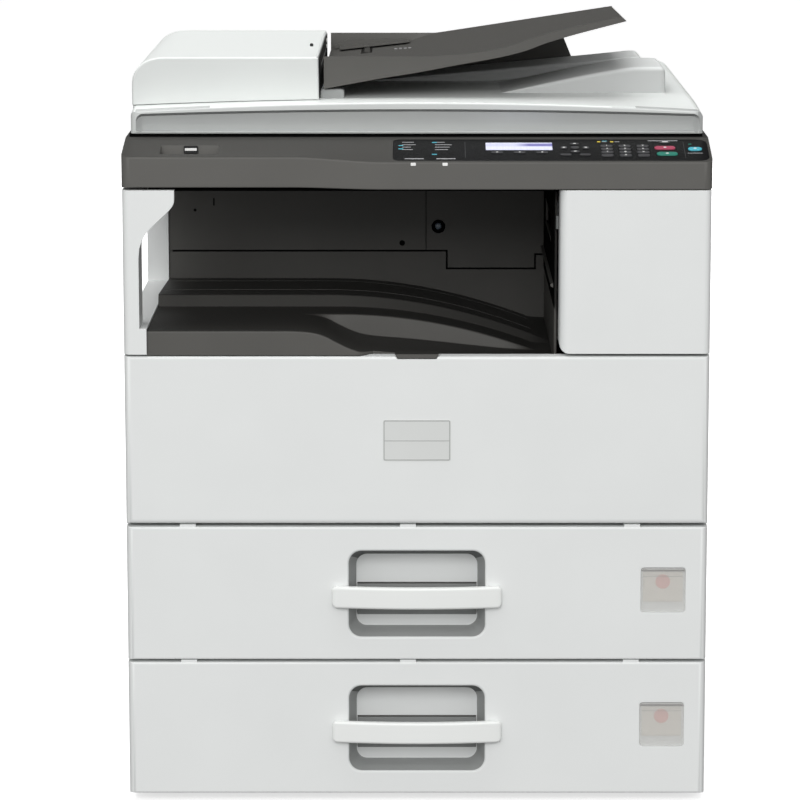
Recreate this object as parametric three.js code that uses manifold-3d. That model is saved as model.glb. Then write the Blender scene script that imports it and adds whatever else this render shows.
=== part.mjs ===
// Floor-standing photocopier: two paper drawers, an engine behind a drop-down front cover, an output bay,
// a flatbed scanner with a sloping control panel, and a hinged lid that carries a sheet feeder.
// Millimetres, +Z up, +X to the user's right, the user stands at -Y.
// The origin is on the floor, under the middle.
import * as THREE from "three";
import { mergeVertices } from "three/addons/utils/BufferGeometryUtils.js";
import Module from "manifold-3d";

const wasm = await Module();
wasm.setup();

// ---------------------------------------------------------------- driving dimensions
const HALF_WIDTH = 293; // casing, side to side
const FRONT = -280; // the face of the drawers and covers
const REAR = 286; // the rear cover's outer face
const LID_REAR = 294;
const PANEL = 18; // depth of the drawer fronts and the front cover
const PANEL_BACK = FRONT + PANEL;
const CORNER = 7; // plan radius of the front corners
const SKIN = 3; // moulded wall
const STEEL = 2; // frame plate
const GAP = 0.4; // between pieces that touch
const FOOT = { radius: 15, height: 9.6, x: 250, front: -225, rear: 240 };

const DRAWER_PITCH = 140; // height of one drawer
const DRAWER_HEIGHT = 137;
const DRAWER_BASES = [150, 10]; // drawer 1 above drawer 2
// Light bumps that keep the joint lines between the fronts even.
const SPACER = { height: 2.4, width: 16, xs: [-231, -9, 217] };
const COVER = { bottom: 290.3, top: 461 }; // front cover
const BAY = { floor: 463, top: 628, back: 66, left: -270, right: 138.5 };
const SCAN = { bottom: 628.6, top: 674, rear: 262, halfWidth: 293.5 };
const LID = {
  halfWidth: 288.6,
  front: -211,
  bottom: 677.5,
  top: 710,
  roundRight: 17.5, // radius along the right edge of the top
  roundRightFront: 7, // the same radius at the front lip
  dropFrom: -120, // the top falls from here to the front
  dropMiddle: 1,
  dropEnds: 9,
};
const dropRow = (share) => LID.dropFrom + (LID.front - LID.dropFrom) * share;
const WEDGES = {
  front: { y0: -116, y1: 8, left: 84, right: 256, flat: 223, high: 736.6, fall: 0 },
  rear: { y0: 24, y1: 112, left: -60, right: 243, flat: 228, high: 736, fall: 4 },
};
const HINGE = { x: 180, width: 44, y: 276, z: 690, radius: 8 };
const FEEDER = { left: -289, right: -99, front: -180, back: 188, top: 752, split: 724 };
const DOCUMENT_TRAY = {
  tip: 212.5,
  tipLean: 6.5, // the rim's top stops this much short of the tip
  front: -171,
  back: 150,
  tipBack: 123.3,
  rearTop: 752,
  rearTipTop: 783.2,
};
const SKIRT = { x0: -88, x1: 160.7, x1Low: 176, low: 710.8, thick: 4 };

// The sloping operation panel: its lower edge is on the front face, its upper edge at the lid.
const SLOPE_FOOT = 656.4;
const SLOPE_ANGLE = Math.atan2(SCAN.top - SLOPE_FOOT, LID.front - FRONT);

// ---------------------------------------------------------------- materials
const material = (color, roughness, metalness = 0, extra = {}) =>
  new THREE.MeshStandardMaterial({ color, roughness, metalness, ...extra });
const LIGHT = material(0xdfe1df, 0.55); // off-white moulded covers
const CHARCOAL = material(0x5f5e5a, 0.55); // scanner bezel and document tray
const DARK = material(0x2d2d2b, 0.6); // bay and output tray
const BLACK = material(0x1d1d1e, 0.25); // control panel
const STEEL_PLATE = material(0xb4b8ba, 0.4, 0.9);
const TRAY_PLASTIC = material(0x8f9291, 0.6);
const WHITE = material(0xf4f4f2, 0.7);
const RUBBER = material(0x222222, 0.9);
const KEY_GREY = material(0x4a4a4b, 0.5);
const GREEN = material(0x1f8f78, 0.45);
const RED = material(0xb5405f, 0.45);
const CYAN = material(0x4db8c8, 0.4);
const SCREEN = material(0xd9dcf2, 0.2);
const GLASS = material(0xdfeeea, 0.05, 0, { transparent: true, opacity: 0.35 });
const CLEAR = material(0xcfcbc4, 0.2, 0, { transparent: true, opacity: 0.6 });

// ---------------------------------------------------------------- shapes
const point = (x, y) => new THREE.Vector2(x, y);
const outline = (...points) => new THREE.Shape(points.map(([x, y]) => point(x, y)));

// A rectangle whose corners are rounded by radius, with its own radius at the right if wanted.
function roundedRect(x0, x1, y0, y1, radius, right = radius) {
  const s = new THREE.Shape();
  s.moveTo(x0 + radius, y0);
  s.lineTo(x1 - right, y0);
  s.absarc(x1 - right, y0 + right, right, -Math.PI / 2, 0);
  s.lineTo(x1, y1 - right);
  s.absarc(x1 - right, y1 - right, right, 0, Math.PI / 2);
  s.lineTo(x0 + radius, y1);
  s.absarc(x0 + radius, y1 - radius, radius, Math.PI / 2, Math.PI);
  s.lineTo(x0, y0 + radius);
  s.absarc(x0 + radius, y0 + radius, radius, Math.PI, 1.5 * Math.PI);
  return s;
}

// ---------------------------------------------------------------- extrusions along each axis
const extrude = (shape, depth, curveSegments) =>
  new THREE.ExtrudeGeometry(shape, { depth, bevelEnabled: false, curveSegments, steps: 1 });
const basis = (x, y, z) =>
  new THREE.Matrix4().makeBasis(new THREE.Vector3(...x), new THREE.Vector3(...y), new THREE.Vector3(...z));
const alongZ = (shape, z0, z1, segments = 5) => extrude(shape, z1 - z0, segments).translate(0, 0, z0);
const alongX = (shapeYZ, x0, x1, segments = 5) =>
  extrude(shapeYZ, x1 - x0, segments)
    .applyMatrix4(basis([0, 1, 0], [0, 0, 1], [1, 0, 0]))
    .translate(x0, 0, 0);
const alongY = (shapeXZ, y0, y1, segments = 5) =>
  extrude(shapeXZ, y1 - y0, segments)
    .applyMatrix4(basis([1, 0, 0], [0, 0, 1], [0, -1, 0]))
    .translate(0, y1, 0);
const box = (x0, x1, y0, y1, z0, z1) =>
  new THREE.BoxGeometry(x1 - x0, y1 - y0, z1 - z0).translate((x0 + x1) / 2, (y0 + y1) / 2, (z0 + z1) / 2);

// A solid of revolution about a line along +Y through (x, z); profile is [distance along Y, radius].
function turnedAlongY(profile, x, z, segments = 20) {
  const points = profile.map(([along, radius]) => point(radius, along));
  return new THREE.LatheGeometry(points, segments).translate(x, 0, z);
}

// A closed skin through sections, each a list of [x, y, z] points in the same order, capped at both ends.
function loft(sections) {
  const count = sections[0].length;
  const positions = sections.flat(2);
  const index = [];
  for (let s = 0; s + 1 < sections.length; s++)
    for (let i = 0; i < count; i++) {
      const a = s * count + i;
      const b = s * count + ((i + 1) % count);
      index.push(a, b, a + count, b, b + count, a + count);
    }
  const cap = THREE.ShapeUtils.triangulateShape(
    sections[0].map(([, y, z]) => point(y, z)),
    [],
  );
  const last = (sections.length - 1) * count;
  for (const [a, b, c] of cap) {
    index.push(a, c, b);
    index.push(last + a, last + b, last + c);
  }
  return new THREE.BufferGeometry()
    .setAttribute("position", new THREE.Float32BufferAttribute(positions, 3))
    .setIndex(index);
}

// ---------------------------------------------------------------- booleans
const WELD = 1e-3;

function solid(geometry) {
  const bare = new THREE.BufferGeometry().setAttribute("position", geometry.getAttribute("position"));
  bare.setIndex(geometry.index);
  const merged = mergeVertices(bare, WELD);
  const vertProperties = new Float32Array(merged.attributes.position.array);
  const made = new wasm.Manifold(
    new wasm.Mesh({ numProp: 3, vertProperties, triVerts: new Uint32Array(merged.index.array) }),
  );
  if (made.volume() > 0) return made;
  const triVerts = new Uint32Array(merged.index.array).reverse();
  return new wasm.Manifold(new wasm.Mesh({ numProp: 3, vertProperties, triVerts }));
}

const join = (...geometries) => geometries.map(solid).reduce((a, b) => a.add(b));
const cut = (body, ...tools) => tools.map(solid).reduce((a, b) => a.subtract(b), body);

function geometryOf(manifold) {
  const m = manifold.getMesh();
  const positions = new Float32Array(m.numVert * 3);
  for (let i = 0; i < m.numVert; i++)
    positions.set(m.vertProperties.subarray(i * m.numProp, i * m.numProp + 3), i * 3);
  return new THREE.BufferGeometry()
    .setAttribute("position", new THREE.BufferAttribute(positions, 3))
    .setIndex(new THREE.BufferAttribute(m.triVerts, 1));
}

const copier = new THREE.Group();

function piece(name, shape, look, parent = copier) {
  const geometry = shape.isBufferGeometry ? shape : geometryOf(shape);
  geometry.computeVertexNormals();
  const mesh = new THREE.Mesh(geometry, look);
  mesh.name = name;
  parent.add(mesh);
  return mesh;
}

// ---------------------------------------------------------------- feet and casing
function feet() {
  const { radius, height, x, front, rear } = FOOT;
  const places = {
    front_left: [-x, front],
    front_right: [x, front],
    rear_left: [-x, rear],
    rear_right: [x, rear],
  };
  for (const [corner, [px, py]] of Object.entries(places)) {
    const pad = new THREE.CylinderGeometry(radius - 3, radius, height, 16).rotateX(Math.PI / 2);
    piece(`foot_${corner}`, pad.translate(px, py, height / 2), RUBBER);
  }
}

function lowerCabinet() {
  const wall = 2.5;
  const x = HALF_WIDTH - 1;
  const [z0, z1] = [DRAWER_BASES[1], DRAWER_BASES[0] - 0.6];
  const [y0, y1] = [PANEL_BACK + 3, REAR - 2];
  const outer = solid(box(-x, x, y0, y1, z0, z1));
  const inside = box(wall - x, x - wall, y0 - 5, y1 - wall, z0 + wall, z1 - wall);
  const ledge = (side) => {
    const [a, b] = [side * 262, side * (x - wall + 1)].sort((p, q) => p - q);
    return solid(box(a, b, y0 + 15, y1 - 60, z0 + wall - 1, z0 + 7));
  };
  piece("lower_cabinet", cut(outer, inside).add(ledge(-1)).add(ledge(1)), LIGHT);
}

function mainFrame() {
  const [y0, y1] = [PANEL_BACK + 7, REAR - 8];
  const left = -HALF_WIDTH + 6;
  const bottom = DRAWER_BASES[0] + 0.5;
  const engineFloor = COVER.bottom - 0.8;
  const engineTop = TRAY.base - 4;
  const top = BAY.top - 3;
  const rightPlate = 268;
  const columnPlate = BAY.right + 13;
  const plate = (z) => box(left, rightPlate + STEEL, y0, y1, z, z + STEEL);
  const frame = join(
    plate(bottom),
    plate(engineFloor),
    box(left, columnPlate, y0, y1, engineTop, engineTop + STEEL),
    box(left, left + STEEL, y0, y1, bottom, engineTop + STEEL),
    box(rightPlate, rightPlate + STEEL, y0 + 25, y1, bottom, top),
    box(left, rightPlate + STEEL, y1 - STEEL, y1, bottom, top),
    box(columnPlate - STEEL, columnPlate, y0 + 25, y1, engineTop, top),
    box(left, rightPlate + STEEL, BAY.back + 24, y1, top - STEEL, top),
    box(columnPlate - STEEL, rightPlate + STEEL, y0 + 25, y1, top - STEEL, top),
    box(left, left + STEEL, BAY.back + 30, y1, engineTop, top),
  );
  const paperPath = box(rightPlate - 5, rightPlate + 5, -170, 170, 305, 560);
  const exitSlot = box(columnPlate - 5, columnPlate + 5, -160, 20, 560, 585);
  const inletHole = box(INLET.x - 17, INLET.x + 17, y1 - 5, y1 + 5, INLET.z - 14, INLET.z + 14);
  piece("main_frame", cut(frame, paperPath, exitSlot, inletHole), STEEL_PLATE);
}

// The left cover is thin beside the engine and a hollow frame beside the bay,
// with a window for reaching copies.
function leftCover() {
  const outer = -HALF_WIDTH;
  const column = { edge: -277, depth: 46, sill: 489, flareX: -241, ceiling: 603, windowBack: 64 };
  const skin = roundedRect(PANEL_BACK + 1, REAR - 4, DRAWER_BASES[0] + 1, SCAN.bottom - 1, 2);
  const side = solid(alongX(skin, outer, outer + SKIN));
  const wallBack = BAY.back + 22;
  const wall = outline([FRONT, BAY.floor], [wallBack, BAY.floor], [wallBack, BAY.top], [FRONT, BAY.top]);
  const bayWall = solid(alongX(wall, outer, BAY.left));
  const window = alongX(
    outline(
      [FRONT + column.depth, column.sill],
      [column.windowBack, column.sill],
      [column.windowBack, column.ceiling],
      [FRONT + column.depth, column.ceiling],
    ),
    outer - 5,
    BAY.left + 5,
  );
  // Beside the window the front column is narrower than the wall, and it flares out under the scanner.
  const { edge, sill, ceiling } = column;
  const trim = box(edge, BAY.left + 5, FRONT - 5, FRONT + column.depth + 1, sill, ceiling);
  const flare = new THREE.Shape();
  flare.moveTo(outer + 2, 560);
  flare.lineTo(column.edge, 560);
  flare.bezierCurveTo(column.edge, 574, -272, 583, -264, 591);
  flare.lineTo(-247, 607);
  flare.bezierCurveTo(-243, 611, column.flareX, 614, column.flareX, 619);
  flare.lineTo(column.flareX, BAY.top);
  flare.lineTo(outer + 2, BAY.top);
  const flange = solid(alongY(flare, FRONT, FRONT + 12, 4));
  const cavity = box(outer + SKIN, BAY.left - SKIN, FRONT + 60, 80, BAY.floor - 1, column.sill - SKIN);
  const body = cut(bayWall.add(side), window, trim, cavity);
  const cornerCut = cut(
    solid(box(outer - 1, outer + CORNER, FRONT - 1, FRONT + CORNER, BAY.floor - 1, BAY.top + 1)),
    new THREE.CylinderGeometry(CORNER, CORNER, 200, 20)
      .rotateX(Math.PI / 2)
      .translate(outer + CORNER, FRONT + CORNER, 550),
  );
  piece("left_cover", body.add(flange).subtract(cornerCut), LIGHT);
}

function rightSidePanel() {
  const shape = roundedRect(PANEL_BACK + 1, REAR - 4, DRAWER_BASES[0] + 1, SCAN.bottom - 1, 2);
  const doorway = box(HALF_WIDTH - SKIN - 1, HALF_WIDTH + 1, -200.5, 200.5, 293, 612);
  piece("right_side_panel", cut(solid(alongX(shape, HALF_WIDTH - SKIN, HALF_WIDTH)), doorway), LIGHT);
}

function rearCover() {
  const halfWidth = HALF_WIDTH - 3.5;
  const shape = roundedRect(-halfWidth, halfWidth, DRAWER_BASES[0] + 1, SCAN.bottom - 3, 6);
  const sheet = solid(alongY(shape, REAR - 3.5, REAR));
  const opening = (x0, x1, z0, z1) => box(x0, x1, REAR - 5, REAR + 1, z0, z1);
  const columns = [
    [-240, -120],
    [90, 240],
  ];
  const vents = { count: 8, pitch: 12, height: 4, first: 470, columns };
  const slots = vents.columns.flatMap(([x0, x1]) =>
    Array.from({ length: vents.count }, (_, i) => {
      const z = vents.first + i * vents.pitch;
      return opening(x0, x1, z, z + vents.height);
    }),
  );
  const inlet = opening(INLET.x - 15.5, INLET.x + 15.5, INLET.z - 12.5, INLET.z + 12.5);
  piece("rear_cover", cut(sheet, ...slots, inlet), LIGHT);
}

const INLET = { x: 200, z: 185 };

function powerInlet() {
  const { x, z } = INLET;
  const flange = roundedRect(x - 24, x + 24, z - 14.5, z + 14.5, 3);
  const body = join(
    alongY(flange, REAR + GAP, REAR + 2.2, 3),
    box(x - 15, x + 15, REAR - 22, REAR + 1, z - 12, z + 12),
  );
  const mouth = roundedRect(x - 12, x + 12, z - 8.5, z + 8.5, 2);
  piece("power_inlet", cut(body, alongY(mouth, REAR - 17, REAR + 3, 2)), BLACK);
}

// ---------------------------------------------------------------- drawers
// A front panel with rounded vertical corners: plan outline, extruded up.
function frontPlan(x0, x1, radiusLeft = CORNER, radiusRight = CORNER) {
  const s = new THREE.Shape();
  s.moveTo(x0, PANEL_BACK);
  s.lineTo(x0, FRONT + radiusLeft);
  s.absarc(x0 + radiusLeft, FRONT + radiusLeft, radiusLeft, Math.PI, 1.5 * Math.PI);
  s.lineTo(x1 - radiusRight, FRONT);
  s.absarc(x1 - radiusRight, FRONT + radiusRight, radiusRight, 1.5 * Math.PI, 2 * Math.PI);
  s.lineTo(x1, PANEL_BACK);
  return s;
}

const GRIP = {
  halfWidth: 69,
  low: 23.4,
  high: 112.6,
  radius: 13,
  depth: 34,
  draft: 8, // at the sides
  draftLow: 5,
  draftHigh: 11,
};
const HANDLE = { halfWidth: 85.5, low: 54.8, high: 75.8, proudEnd: 6.5, proudMiddle: 14, thick: 6 };
const WINDOW = { x0: 226, x1: 271.5, low: 49, high: 95.5, depth: 3.2 };
const BOX = { halfWidth: 258, rear: 150, low: 9, high: 100, wall: 2.5 };

function gripPocket(base, inset = 0) {
  const { halfWidth, low, high, radius, depth, draft, draftLow, draftHigh } = GRIP;
  const ring = (share, y) => {
    const s = roundedRect(
      -halfWidth + share * draft - inset,
      halfWidth - share * draft + inset,
      base + low + share * draftLow - inset,
      base + high - share * draftHigh + inset,
      radius - share * 2.4,
    );
    return s.getPoints(5).map((p) => [p.x, y, p.y]);
  };
  const mouth = ring(0, FRONT - 2);
  const floor = ring(1, FRONT + depth + inset);
  return { mouth, floor };
}

// Skins the pocket between its mouth and its floor; both rings have the same number of points.
function pocketSolid({ mouth, floor }) {
  const apart = (p, q) => Math.hypot(...p.map((v, k) => v - q[k])) > WELD;
  const clean = (ring) => ring.filter((p, i) => i === 0 || apart(p, ring[i - 1]));
  const open = (ring) => (apart(ring[0], ring[ring.length - 1]) ? ring : ring.slice(0, -1));
  const [a, b] = [mouth, floor].map((ring) => open(clean(ring)));
  const n = a.length;
  const index = [];
  for (let i = 0; i < n; i++) {
    const j = (i + 1) % n;
    index.push(i, j, n + i, j, n + j, n + i);
  }
  const cap = THREE.ShapeUtils.triangulateShape(
    a.map(([x, , z]) => point(x, z)),
    [],
  );
  for (const [p, q, r] of cap) index.push(p, r, q, n + p, n + q, n + r);
  return new THREE.BufferGeometry()
    .setAttribute("position", new THREE.Float32BufferAttribute([...a, ...b].flat(), 3))
    .setIndex(index);
}

function drawer(number, base) {
  const name = (part) => `drawer_${number}_${part}`;
  const top = base + DRAWER_HEIGHT;
  const half = SPACER.width / 2;
  const spacers = SPACER.xs.map((x) =>
    box(x - half, x + half, FRONT + 1, FRONT + 12, top - 1, top + SPACER.height),
  );
  const shell = join(alongZ(frontPlan(-HALF_WIDTH, HALF_WIDTH), base, top), ...spacers);
  const cup = solid(pocketSolid(gripPocket(base, SKIN))).intersect(
    solid(box(-120, 120, PANEL_BACK - 6, PANEL_BACK + 30, base, top)),
  );
  const inside = HALF_WIDTH - SKIN;
  const hollow = box(-inside, inside, FRONT + SKIN + 2, PANEL_BACK + 1, base + SKIN, top - SKIN);
  const surround = solid(box(-90, 90, FRONT + 1, PANEL_BACK, base + 1, top - 1));
  const windowWall = 4;
  const windowBack = solid(
    box(
      WINDOW.x0 - windowWall,
      WINDOW.x1 + windowWall,
      FRONT + 1,
      FRONT + 9,
      base + WINDOW.low - windowWall,
      base + WINDOW.high + windowWall,
    ),
  );
  const windowPocket = alongY(
    roundedRect(WINDOW.x0, WINDOW.x1, base + WINDOW.low, base + WINDOW.high, 3),
    FRONT - 1,
    FRONT + WINDOW.depth,
    2,
  );
  const front = cut(
    cut(shell, hollow).add(surround).add(cup).add(windowBack),
    pocketSolid(gripPocket(base)),
    windowPocket,
  );
  piece(name("front"), front, LIGHT);

  // The grip bar bows forward in plan and bears on the panel at its two ends.
  const { halfWidth: w, proudEnd, proudMiddle, thick } = HANDLE;
  const bar = new THREE.Shape();
  bar.moveTo(-w, FRONT - GAP);
  bar.lineTo(-w, FRONT - proudEnd + 2);
  bar.quadraticCurveTo(-w, FRONT - proudEnd, -w + 2, FRONT - proudEnd - 0.2);
  bar.quadraticCurveTo(0, FRONT - 2 * proudMiddle + proudEnd, w - 2, FRONT - proudEnd - 0.2);
  bar.quadraticCurveTo(w, FRONT - proudEnd, w, FRONT - proudEnd + 2);
  bar.lineTo(w, FRONT - GAP);
  bar.lineTo(w - 12, FRONT - GAP);
  bar.quadraticCurveTo(0, FRONT - 2 * (proudMiddle - thick) + GAP, -w + 12, FRONT - GAP);
  piece(name("handle"), alongZ(bar, base + HANDLE.low, base + HANDLE.high, 8), LIGHT);

  const pane = roundedRect(
    WINDOW.x0 + GAP,
    WINDOW.x1 - GAP,
    base + WINDOW.low + GAP,
    base + WINDOW.high - GAP,
    2.6,
  );
  piece(name("size_window"), alongY(pane, FRONT + 0.3, FRONT + WINDOW.depth - GAP, 2), CLEAR);

  // The paper box behind the front.
  const { halfWidth: x, rear, low, high, wall } = BOX;
  const y0 = PANEL_BACK + 20;
  const paperBox = cut(
    solid(box(-x, x, y0, rear, base + low, base + high)),
    box(wall - x, x - wall, y0 + wall, rear - wall, base + low + wall, base + high + 5),
  );
  const link = (side) => {
    const [a, b] = [side * 200, side * 240].sort((p, q) => p - q);
    return solid(box(a, b, PANEL_BACK + GAP, y0 + 1, base + 20, base + 60));
  };
  piece(name("paper_box"), paperBox.add(link(-1)).add(link(1)), TRAY_PLASTIC);
  const plateBase = base + low + wall + GAP;
  const plate = box(-x + 60, x - 6, y0 + 40, rear - 20, plateBase, plateBase + 1.6);
  piece(name("lift_plate"), plate, STEEL_PLATE);
}

// ---------------------------------------------------------------- front covers and the bay
function frontCover() {
  const { bottom, top } = COVER;
  const lip = 6; // radius about the hinge, so that the lower edge clears the drawer as the cover drops
  const side = new THREE.Shape();
  side.moveTo(PANEL_BACK, bottom + 3);
  side.lineTo(FRONT + lip + 4, bottom);
  side.lineTo(FRONT + lip, bottom);
  side.absarc(FRONT + lip, bottom + lip, lip, 1.5 * Math.PI, Math.PI, true);
  side.lineTo(FRONT, top - 3);
  side.absarc(FRONT + 3, top - 3, 3, Math.PI, Math.PI / 2, true);
  side.lineTo(PANEL_BACK, top);
  const body = solid(alongX(side, -HALF_WIDTH, HALF_WIDTH, 4)).intersect(
    solid(alongZ(frontPlan(-HALF_WIDTH, HALF_WIDTH), bottom - 1, top + 1)),
  );
  const inside = HALF_WIDTH - SKIN;
  const hollow = box(-inside, inside, FRONT + SKIN, PANEL_BACK + 1, bottom + 8, top - SKIN);
  const catches = [-200, 200].map((x) =>
    solid(box(x - 7, x + 7, FRONT + 1, PANEL_BACK + 6, top - 26, top - 20)),
  );
  const [one, other] = catches;
  piece("front_cover", cut(body, hollow).add(one).add(other), LIGHT);
}

function upperFrontCover() {
  const [x0, x1] = [142.4, HALF_WIDTH];
  const [z0, z1] = [BAY.floor + 0.8, BAY.top];
  const radius = 10;
  const depth = 42;
  const plan = new THREE.Shape();
  plan.moveTo(x0, FRONT + depth);
  plan.lineTo(x0, FRONT + radius);
  plan.absarc(x0 + radius, FRONT + radius, radius, Math.PI, 1.5 * Math.PI);
  plan.lineTo(x1 - CORNER, FRONT);
  plan.absarc(x1 - CORNER, FRONT + CORNER, CORNER, 1.5 * Math.PI, 2 * Math.PI);
  plan.lineTo(x1, PANEL_BACK);
  plan.lineTo(x1 - SKIN - 1, PANEL_BACK);
  plan.lineTo(x1 - SKIN - 1, FRONT + depth);
  const face = new THREE.Shape();
  face.moveTo(x1, z0);
  face.lineTo(x1, z1);
  face.lineTo(x0, z1);
  face.lineTo(x0, z0 + radius);
  face.absarc(x0 + radius, z0 + radius, radius, Math.PI, 1.5 * Math.PI);
  const body = solid(alongZ(plan, z0, z1)).intersect(solid(alongY(face, FRONT - 1, FRONT + depth + 1)));
  const hollow = box(x0 + SKIN, x1 - SKIN - 4, FRONT + SKIN, FRONT + depth + 1, z0 + SKIN, z1 - SKIN);
  piece("upper_front_cover", cut(body, hollow), LIGHT);
}

// The tray's three terraces, front to rear. Each is level at the left and falls to the right,
// where sheets come in: the first in a quick double bend and then gently, the others along an arc
// that starts at bend.
const TRAY = { low: 448.5, base: 446, frontBase: COVER.top + 1 };
const DOUBLE_BEND = { x0: -120, x1: -44, high: 487, low: 464, farX: 100 };
const ARCS = [
  { y0: -166, y1: -113, high: 487, bend: -80, curvature: 0.00093 },
  { y0: -113, y1: BAY.back - 1, high: 498, bend: -95, curvature: 0.0009 },
];

function outputTray() {
  const [x0, x1] = [BAY.left + GAP, BAY.right - GAP];
  const steps = 12;
  const ease = (t) => (1 - Math.cos(Math.PI * t)) / 2;
  const doubleBend = (x) => {
    const { x0: start, x1: end, high, low, farX } = DOUBLE_BEND;
    if (x <= end) return high - (high - low) * ease(Math.max(0, (x - start) / (end - start)));
    return Math.max(TRAY.low, low - ((low - TRAY.low) * (x - end)) / (farX - end));
  };
  const arc = ({ high, bend, curvature }) => {
    return (x) => Math.max(TRAY.low, high - curvature * Math.max(0, x - bend) ** 2);
  };
  const terrace = (height, start, y0, y1, base) => {
    const corners = [
      [x0, base],
      [x1, base],
    ];
    for (let k = steps; k >= 0; k--) {
      const x = start + ((x1 - start) * k) / steps;
      corners.push([x, Math.max(height(x), base + 2)]);
    }
    return alongY(outline(...corners, [x0, height(x0)]), y0, y1);
  };
  const lip = terrace(doubleBend, DOUBLE_BEND.x0, FRONT + 2, PANEL_BACK + 3, TRAY.frontBase);
  const first = terrace(doubleBend, DOUBLE_BEND.x0, PANEL_BACK + 2, ARCS[0].y0 + 1, TRAY.base);
  const overlap = [1, 0]; // each terrace runs into the next
  const others = ARCS.map((shape, i) =>
    terrace(arc(shape), shape.bend, shape.y0, shape.y1 + overlap[i], TRAY.base),
  );
  const hollow = box(x0 + 12, -150, FRONT + 24, BAY.back - 12, TRAY.base - 1, 478);
  piece("output_tray", cut(join(lip, first, ...others), hollow), DARK);
}

// The rear and right walls of the bay, one dark moulding, with a stepped access lid outlined by a groove.
function bayLiner() {
  const { back, right } = BAY;
  const [z0, z1] = [TRAY.base, BAY.top - 6];
  const left = BAY.left + GAP;
  const walls = join(
    box(left, right + 2.5, back, back + SKIN, z0, z1),
    box(right, right + 2.5, FRONT + 46, back + 1, z0, z1),
  );
  const groove = { depth: 1.4, width: 1.6 };
  const line = (x0, x1, za, zb) => box(x0, x1, back - 1, back + groove.depth, za, zb);
  const [shelf, shelfRight, tab] = [521.5, 517.6, 502];
  const [tabLeft, tabRight] = [32.6, 128.6];
  const half = groove.width / 2;
  const grooves = [
    line(left - 1, tabLeft + half, shelf - half, shelf + half),
    line(tabLeft - half, tabLeft + half, tab - half, shelf + half),
    line(tabLeft - half, tabRight + half, tab - half, tab + half),
    line(tabRight - half, tabRight + half, tab - half, shelfRight + half),
    line(tabRight - half, right + 1, shelfRight - half, shelfRight + half),
    line(9.4, 10.4, shelf, z1 + 1),
  ];
  const knobHole = new THREE.CylinderGeometry(7.6, 7.6, 10, 16).translate(23.5, back, 548);
  const exit = box(right - 2, right + 5, -158, 18, 561, 584);
  piece("bay_liner", cut(walls, ...grooves, knobHole, exit), DARK);
}

// ---------------------------------------------------------------- engine
function engine() {
  const bottle = { x: -150, z: 378, r: 44, y0: -240, y1: 150 };
  piece(
    "toner_bottle",
    turnedAlongY(
      [
        [bottle.y0, 0],
        [bottle.y0, 22],
        [bottle.y0 + 18, 24],
        [bottle.y0 + 30, bottle.r],
        [bottle.y1 - 6, bottle.r],
        [bottle.y1, bottle.r - 8],
        [bottle.y1, 0],
      ],
      bottle.x,
      bottle.z,
      20,
    ),
    WHITE,
  );
  const roller = (name, x, z, r, shaft, y0, y1, look) =>
    piece(
      name,
      turnedAlongY(
        [
          [y0 - 14, 0],
          [y0 - 14, shaft],
          [y0, shaft],
          [y0, r],
          [y1, r],
          [y1, shaft],
          [y1 + 14, shaft],
          [y1 + 14, 0],
        ],
        x,
        z,
        20,
      ),
      look,
    );
  roller("photoconductor_drum", 205, 385, 15, 4, -160, 160, GREEN);
  roller("fuser_roller", 214, 500, 15, 6, -158, 158, BLACK);
}

// ---------------------------------------------------------------- right door and bypass tray
function rightDoor() {
  const door = { y: 198.5, z0: 295, z1: 610, x0: 279, x1: HALF_WIDTH - 0.2 };
  const pocket = { y: 150, z0: 330, z1: 480, x: 283.5 };
  const slab = solid(alongX(roundedRect(-door.y, door.y, door.z0, door.z1, 5), door.x0, door.x1, 3));
  const glide = box(door.x1 - 2.5, door.x1 + 1, -103, 103, pocket.z1 - 1, 562);
  const hold = box(pocket.x, door.x1 + 1, -pocket.y, pocket.y, pocket.z0, pocket.z1);
  const lever = box(door.x1 - 6, door.x1 + 1, -190, -165, 420, 500);
  piece("right_door", cut(slab, glide, hold, lever), LIGHT);
  const flap = { x0: 284, x1: 290.2, y: 148, z0: 333, z1: 477 };
  const flapShape = roundedRect(-flap.y, flap.y, flap.z0, flap.z1, 4);
  piece("bypass_tray", alongX(flapShape, flap.x0, flap.x1, 3), LIGHT);
  const slide = alongX(roundedRect(-100, 100, 350, 470, 6), flap.x1 + GAP, HALF_WIDTH - 0.3, 3);
  const thumb = box(flap.x1, HALF_WIDTH + 1, -25, 25, 452, 464);
  piece("bypass_extension", cut(solid(slide), thumb), TRAY_PLASTIC);
}

// ---------------------------------------------------------------- scanner
const PANEL_X = { left: -24, right: 291 };
const PANEL_ROUND = { left: 7, right: 11 };
const PANEL_S = { low: 3.5, high: 65.5 }; // measured up the slope from the front edge
const POCKET_DEPTH = 5;

// The group in which the operation panel is drawn: x to the right, y up the slope, z out of it.
const slope = new THREE.Group();
slope.position.set(0, FRONT, SLOPE_FOOT);
slope.rotation.x = SLOPE_ANGLE;
slope.updateMatrixWorld(true);
copier.add(slope);

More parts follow.
